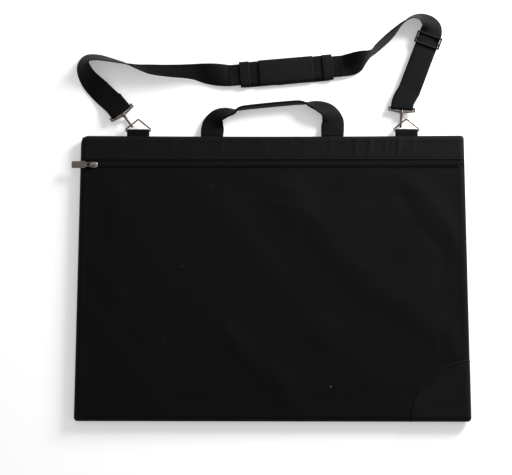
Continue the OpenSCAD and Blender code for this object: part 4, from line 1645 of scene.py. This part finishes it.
@dataclass
class RingTab:
    """A loop of webbing that the top seam holds, with a wire ring in its fold."""

    side: Side
    thick: float = 1.8
    wire_sides: int = 16
    leg: float = 3.7
    bend: float = 2.4
    crown: float = 0.6

    def build(self) -> None:
        """Builds the loop and its ring."""
        node = f"ring_tab_{self.side.value}"
        low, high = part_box(node)
        place, _ = anchor(f"ring_{self.side.value}_swing")
        middle, wide = (low.x + high.x) / 2 / MM, (high.x - low.x) / MM
        start, edge = low.y / MM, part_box("top_band")[1].y / MM
        # Both layers leave the seam together, part and run round the ring's wire
        round_off = 1.6 + self.thick / 2
        path = [(start, 1.0), (start + 5, 0.95), (edge + 1, 1.05), (edge + 4.5, 1.75)]
        path += [(place[1] + round_off * math.sin(a), round_off * math.cos(a))
                 for a in np.linspace(-0.15, math.pi + 0.15, 13)]
        path += [(edge + 4.5, -1.75), (edge + 1, -1.05), (start + 5, -0.95), (start, -1.0)]
        path = np.array(path)
        ahead = np.gradient(path, axis=0)
        ahead /= np.linalg.norm(ahead, axis=1, keepdims=True)
        ribbon = Ribbon()
        for (y, z), (dy, dz) in zip(path, ahead):
            ribbon.centre.append(np.array([middle, y, place[2] + z]))
            ribbon.across.append(np.array([1.0, 0, 0]))
            ribbon.out.append(np.array([0, -dz, dy]))
            ribbon.width.append(wide)
            ribbon.thick.append(self.thick)
        ribbon.make(f"{self.side.value}_ring_tab", STRAP, "case", [node])
        self.ring()

    def ring(self) -> None:
        """Bends the ring from wire: a straight side in the fold and two slanting sides."""
        node = f"ring_{self.side.value}"
        low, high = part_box(node)
        place, _ = anchor(node + "_swing")
        wire = (high.z - low.z) / 2 / MM
        half, top = (high.x - low.x) / 2 / MM - wire, high.y / MM - wire + self.crown
        corners = np.array([(-half, place[1]), (half, place[1]), (half, place[1] + self.leg),
                            (0, top), (-half, place[1] + self.leg)])
        path = []
        for i, b in enumerate(corners):
            a, c = corners[i - 1], corners[(i + 1) % len(corners)]
            go, leave = (b - a) / np.linalg.norm(b - a), (c - b) / np.linalg.norm(c - b)
            reach = self.bend * math.tan(math.acos(np.clip(go @ leave, -1, 1)) / 2)
            first, last = b - reach * go, b + reach * leave
            for t in np.linspace(0, 1, 9):
                spot = (1 - t) ** 2 * first + 2 * t * (1 - t) * b + t * t * last
                path.append((place[0] + spot[0], spot[1], place[2]))
        points, faces = tube(np.array(path), wire, self.wire_sides, True)
        piece = make_piece(f"{self.side.value}_wire_ring", points, faces)
        dress(piece, WIRE, node, [node])


@dataclass
class Hook:
    """A swivelling snap hook: the cast hook, its gate on a pin, and the strap's eye."""

    side: Side

    def build(self) -> None:
        """Builds the hook's pieces."""
        side = self.side.value
        soften(f"hook_{side}", f"{side}_hook", NICKEL, f"hook_{side}", 0.22)
        soften(f"hook_gate_{side}", f"{side}_gate", NICKEL, f"gate_{side}", 0.14, 3)
        soften(f"hook_eye_{side}", f"{side}_eye", NICKEL, "strap", 0.26)
        coat(f"gate_pin_{side}", WORN_NICKEL)


@dataclass
class Pad:
    """The shoulder pad: a soft base with a cover and two keepers sewn over the webbing.

    The base's levels run round it from below upwards: how far each lies in from the edge, and
    how high. The foam bulges at the side, and a row of stitches draws in its upper edge.
    """

    length: float = 160.0
    width: float = 46.0
    corner: float = 8.0
    around: int = 180
    full_height: float = 5.2
    levels: tuple = ((9, 0.35), (4.5, 0.15), (2.2, 0.2), (0.9, 0.9), (0.15, 2.0), (0, 2.8),
                     (0.2, 3.6), (1.0, 4.5), (2.2, 4.9), (3.0, 4.75), (4.2, 5.1), (9, 5.3))
    cover_length: float = 93.0
    keeper_length: float = 17.0
    keeper_at: float = 71.5
    edge_in: float = 3.2

    def __post_init__(self) -> None:
        """Takes the pad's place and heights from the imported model."""
        self.at, self.turn = middle_of("pad_base"), anchor("pad_slide")[1]
        self.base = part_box("pad_base")[1].z / MM
        self.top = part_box("pad_cover")[1].z / MM

    def placed(self, points: Array) -> Array:
        """Turns points from the pad's own frame into the shared one.

        Args:
            points: Places along the pad, across it and up.

        Returns:
            Their x, y and z.
        """
        along, side = toward(self.turn), toward(self.turn + 90)
        points = np.asarray(points, float)
        flat = self.at + points[..., :1] * along + points[..., 1:2] * side
        return np.concatenate([flat, points[..., 2:]], -1)

    def outline(self, length: float, width: float, corner: float) -> Array:
        """Draws a rectangle with rounded corners.

        Args:
            length: Its length.
            width: Its width.
            corner: Radius of its corners.

        Returns:
            Evenly spaced points, anticlockwise.
        """
        spots = []
        for sx, sy, start in ((1, 1, 0), (-1, 1, 90), (-1, -1, 180), (1, -1, 270)):
            middle = np.array([sx * (length / 2 - corner), sy * (width / 2 - corner)])
            spots += [middle + corner * toward(start + a) for a in np.linspace(0, 90, 7)]
        loop = np.array(spots + spots[:1])
        reach = running(loop)
        places = np.linspace(0, reach[-1], self.around + 1)[:-1]
        return np.stack([np.interp(places, reach, values) for values in loop.T], -1)

    def cushion(self) -> None:
        """Builds the base: foam in cloth, sewn flat along its edge."""
        rings = []
        for inset, z in self.levels:
            loop = self.outline(self.length - 2 * inset, self.width - 2 * inset,
                                max(self.corner - inset, 2.5))
            height = np.full((len(loop), 1), z * self.base / self.full_height)
            rings.append(np.concatenate([loop, height], -1))
        rings = np.array(rings)
        rings[..., 2] += 0.15 * ripple(rings[..., 0], rings[..., 1], 18, 21) * (rings[..., 2] > 3)
        points, faces = sweep(self.placed(rings))
        piece = make_piece("pad_cushion", points, faces, rings.reshape(-1, 3)[:, :2])
        # The underside rests on the floor, so its three levels are held
        pins = [1.0 if i < 3 else 0.3 for i in range(len(self.levels))]
        puff(piece, 1.5, 0.5, np.repeat(pins, self.around))
        dress(piece, PAD_CLOTH, "pad", ["pad_base"])

    def band(self, name: str, middle: float, length: float) -> Piece:
        """Builds a padded band over the webbing.

        Args:
            name: The piece's name.
            middle: Its middle along the pad.
            length: Its length.

        Returns:
            The band.
        """
        base, top = self.base + 0.1, self.top
        outer = [(-22.8, base), (-22.9, base + 1.0), (-22.2, base + 2.1), (-20.9, base + 3.2),
                 (-19.3, top - 0.75), (-17, top - 0.35), (-13, top - 0.12), (-7, top - 0.02),
                 (0, top)]
        outer += [(-v, z) for v, z in outer[-2::-1]]
        inner = [(19.3, base), (19.35, top - 3.2), (18.5, top - 2.45), (10, top - 2.35),
                 (0, top - 2.3)]
        inner += [(-v, z) for v, z in inner[-2::-1]]
        profile, over = np.array(outer + inner), len(outer)
        share = np.zeros(len(profile))
        share[2:over - 2] = 1
        rim = np.array([0, 0.35, 1.0, 2.0, 3.2])
        places = np.concatenate([rim, np.arange(4.6, length - 4.4, 2.0), length - rim[::-1]])
        rings, flat = [], []
        for place in places:
            # The band thins towards its ends, and its stitches draw in a groove there
            near = min(place, length - place)
            drop = 1.1 * (1 - math.sqrt(1 - max(0, 1 - near / 2.0) ** 2))
            seam = 0.35 * bell(near - self.edge_in, 0.9)
            ring = np.array([(middle - length / 2 + place, v, z) for v, z in profile])
            ring[:, 2] -= share * (drop + seam)
            ring[:over, 2] += share[:over] * 0.12 * ripple(ring[:over, 0], ring[:over, 1], 16, 7)
            rings.append(ring)
            flat.append(np.stack([ring[:, 0], np.arange(len(profile)) * 2.6], -1))
        points, faces = sweep(self.placed(np.array(rings)))
        return make_piece(name, points, faces, np.array(flat).reshape(-1, 2))

    def stitches(self) -> None:
        """Sews the cover and the keepers along their edges and their ends."""
        rows = []
        for middle, half in ((0.0, 45.0), (-self.keeper_at, 6.0), (self.keeper_at, 6.0)):
            start, end = middle - half, middle + half
            u, v = np.linspace(start, end, 60), np.linspace(-17, 17, 40)
            routes = [(u, np.full_like(u, edge), self.base + 2.75) for edge in (-21.6, 21.6)]
            routes += [(np.full_like(v, place), v, self.top - 0.3)
                       for place in (start - 0.2, end + 0.2)]
            for along, across, height in routes:
                spots = np.stack([along, across, np.full_like(along, height)], -1)
                rows.append((self.placed(spots), np.tile([0, 0, 1.0], (len(along), 1))))
        Thread().sew("pad_stitching", rows, "pad")

    def build(self) -> None:
        """Builds the pad."""
        self.cushion()
        cover = self.band("pad_cover_cloth", 0.0, self.cover_length)
        dress(cover, PAD_CLOTH, "pad", ["pad_cover"])
        for side in Side:
            keeper = self.band(f"{side.value}_keeper", side.sign * self.keeper_at,
                               self.keeper_length)
            dress(keeper, PAD_CLOTH, "pad", ["pad_keepers"])
        self.stitches()


@dataclass
class Adjuster:
    """The three-bar slide, and the sewn loop of webbing that holds its middle bar."""

    loop_cell: float = 0.3
    slide_cell: float = 0.25

    def build(self) -> None:
        """Builds the loop and the slide."""
        soften("adjuster_tab", "adjuster_loop", STRAP, "adjuster", self.loop_cell, 3)
        soften("adjuster", "adjuster_slide", ACETAL, "adjuster", self.slide_cell, 4)


# ---------------------------------------------------------------- studio


@dataclass
class Studio:
    """Floor, light and camera. Places are in metres, the lens and the floor's drop are not."""

    camera_at: tuple = (0.0, -0.315, 2.158)
    camera_turn: tuple = (10.04, 0.70, 0.13)
    lens: float = 91.4
    floor_size: float = 9.0
    room: float = 0.42
    glow: float = 0.3
    key_at: tuple = (1.15, 1.12, 0.74)
    key_size: float = 0.7
    key_power: float = 42.0
    floor_drop: float = 0.4

    def floor(self) -> None:
        """Lays the plain pale floor, a sheet of white paper that glows a little."""
        half, z = self.floor_size / 2 / MM, -self.floor_drop
        corners = [(-half, -half, z), (half, -half, z), (half, half, z), (-half, half, z)]
        floor = make_piece("floor", np.array(corners), [[0, 1, 2, 3]])
        paper = bpy.data.materials.new("white paper")
        paper.use_nodes = True
        paper.node_tree.nodes.clear()
        shader = add(paper.node_tree, "BsdfPrincipled", {
            "Base Color": linear("#fbfbfb"), "Roughness": 0.9, "Specular IOR Level": 0.2,
            "Emission Color": (1, 1, 1, 1), "Emission Strength": self.glow})
        add(paper.node_tree, "OutputMaterial", {"Surface": shader.outputs[0]})
        floor.data.materials.append(paper)

    def lamp(self, name: str, at: Sequence[float], aim: Sequence[float], size: float,
             power: float) -> None:
        """Hangs a soft square light.

        Args:
            name: Its name.
            at: Where it is, in metres.
            aim: The point that it faces.
            size: The length of its side.
            power: Its power in watts.
        """
        light = bpy.data.lights.new(name, "AREA")
        light.shape, light.size, light.energy = "SQUARE", size, power
        lamp = bpy.data.objects.new(name, light)
        lamp.location = at
        lamp.rotation_euler = (Vector(aim) - Vector(at)).to_track_quat("-Z", "Y").to_euler()
        bpy.context.scene.collection.objects.link(lamp)

    def world(self) -> None:
        """Fills the room with even light."""
        scene = bpy.context.scene
        scene.world = bpy.data.worlds.new("room")
        scene.world.use_nodes = True
        tree = scene.world.node_tree
        tree.nodes.clear()
        glow = add(tree, "Background", {"Color": (1, 1, 1, 1), "Strength": self.room})
        add(tree, "OutputWorld", {"Surface": glow.outputs[0]})

    def camera(self) -> None:
        """Places the camera."""
        lens = bpy.data.cameras.new("camera")
        lens.lens, lens.sensor_width, lens.clip_end = self.lens, 36.0, 50.0
        camera = bpy.data.objects.new("camera", lens)
        camera.location = self.camera_at
        camera.rotation_euler = Euler([math.radians(a) for a in self.camera_turn], "XYZ")
        bpy.context.scene.collection.objects.link(camera)
        bpy.context.scene.camera = camera

    def build(self) -> None:
        """Sets up the studio."""
        self.floor()
        self.world()
        self.lamp("key", self.key_at, (0, 0, 0), self.key_size, self.key_power)
        self.camera()
        bpy.context.scene.view_settings.view_transform = "Standard"


def main() -> None:
    """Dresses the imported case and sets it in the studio."""
    logging.basicConfig(level=logging.INFO, format="%(name)s: %(message)s")
    Case().build()
    Zip().build()
    for side in Side:
        RingTab(side).build()
        Hook(side).build()
    Handle().build()
    Strap().build()
    Adjuster().build()
    Pad().build()
    Studio().build()


if __name__ == "__main__":
    main()
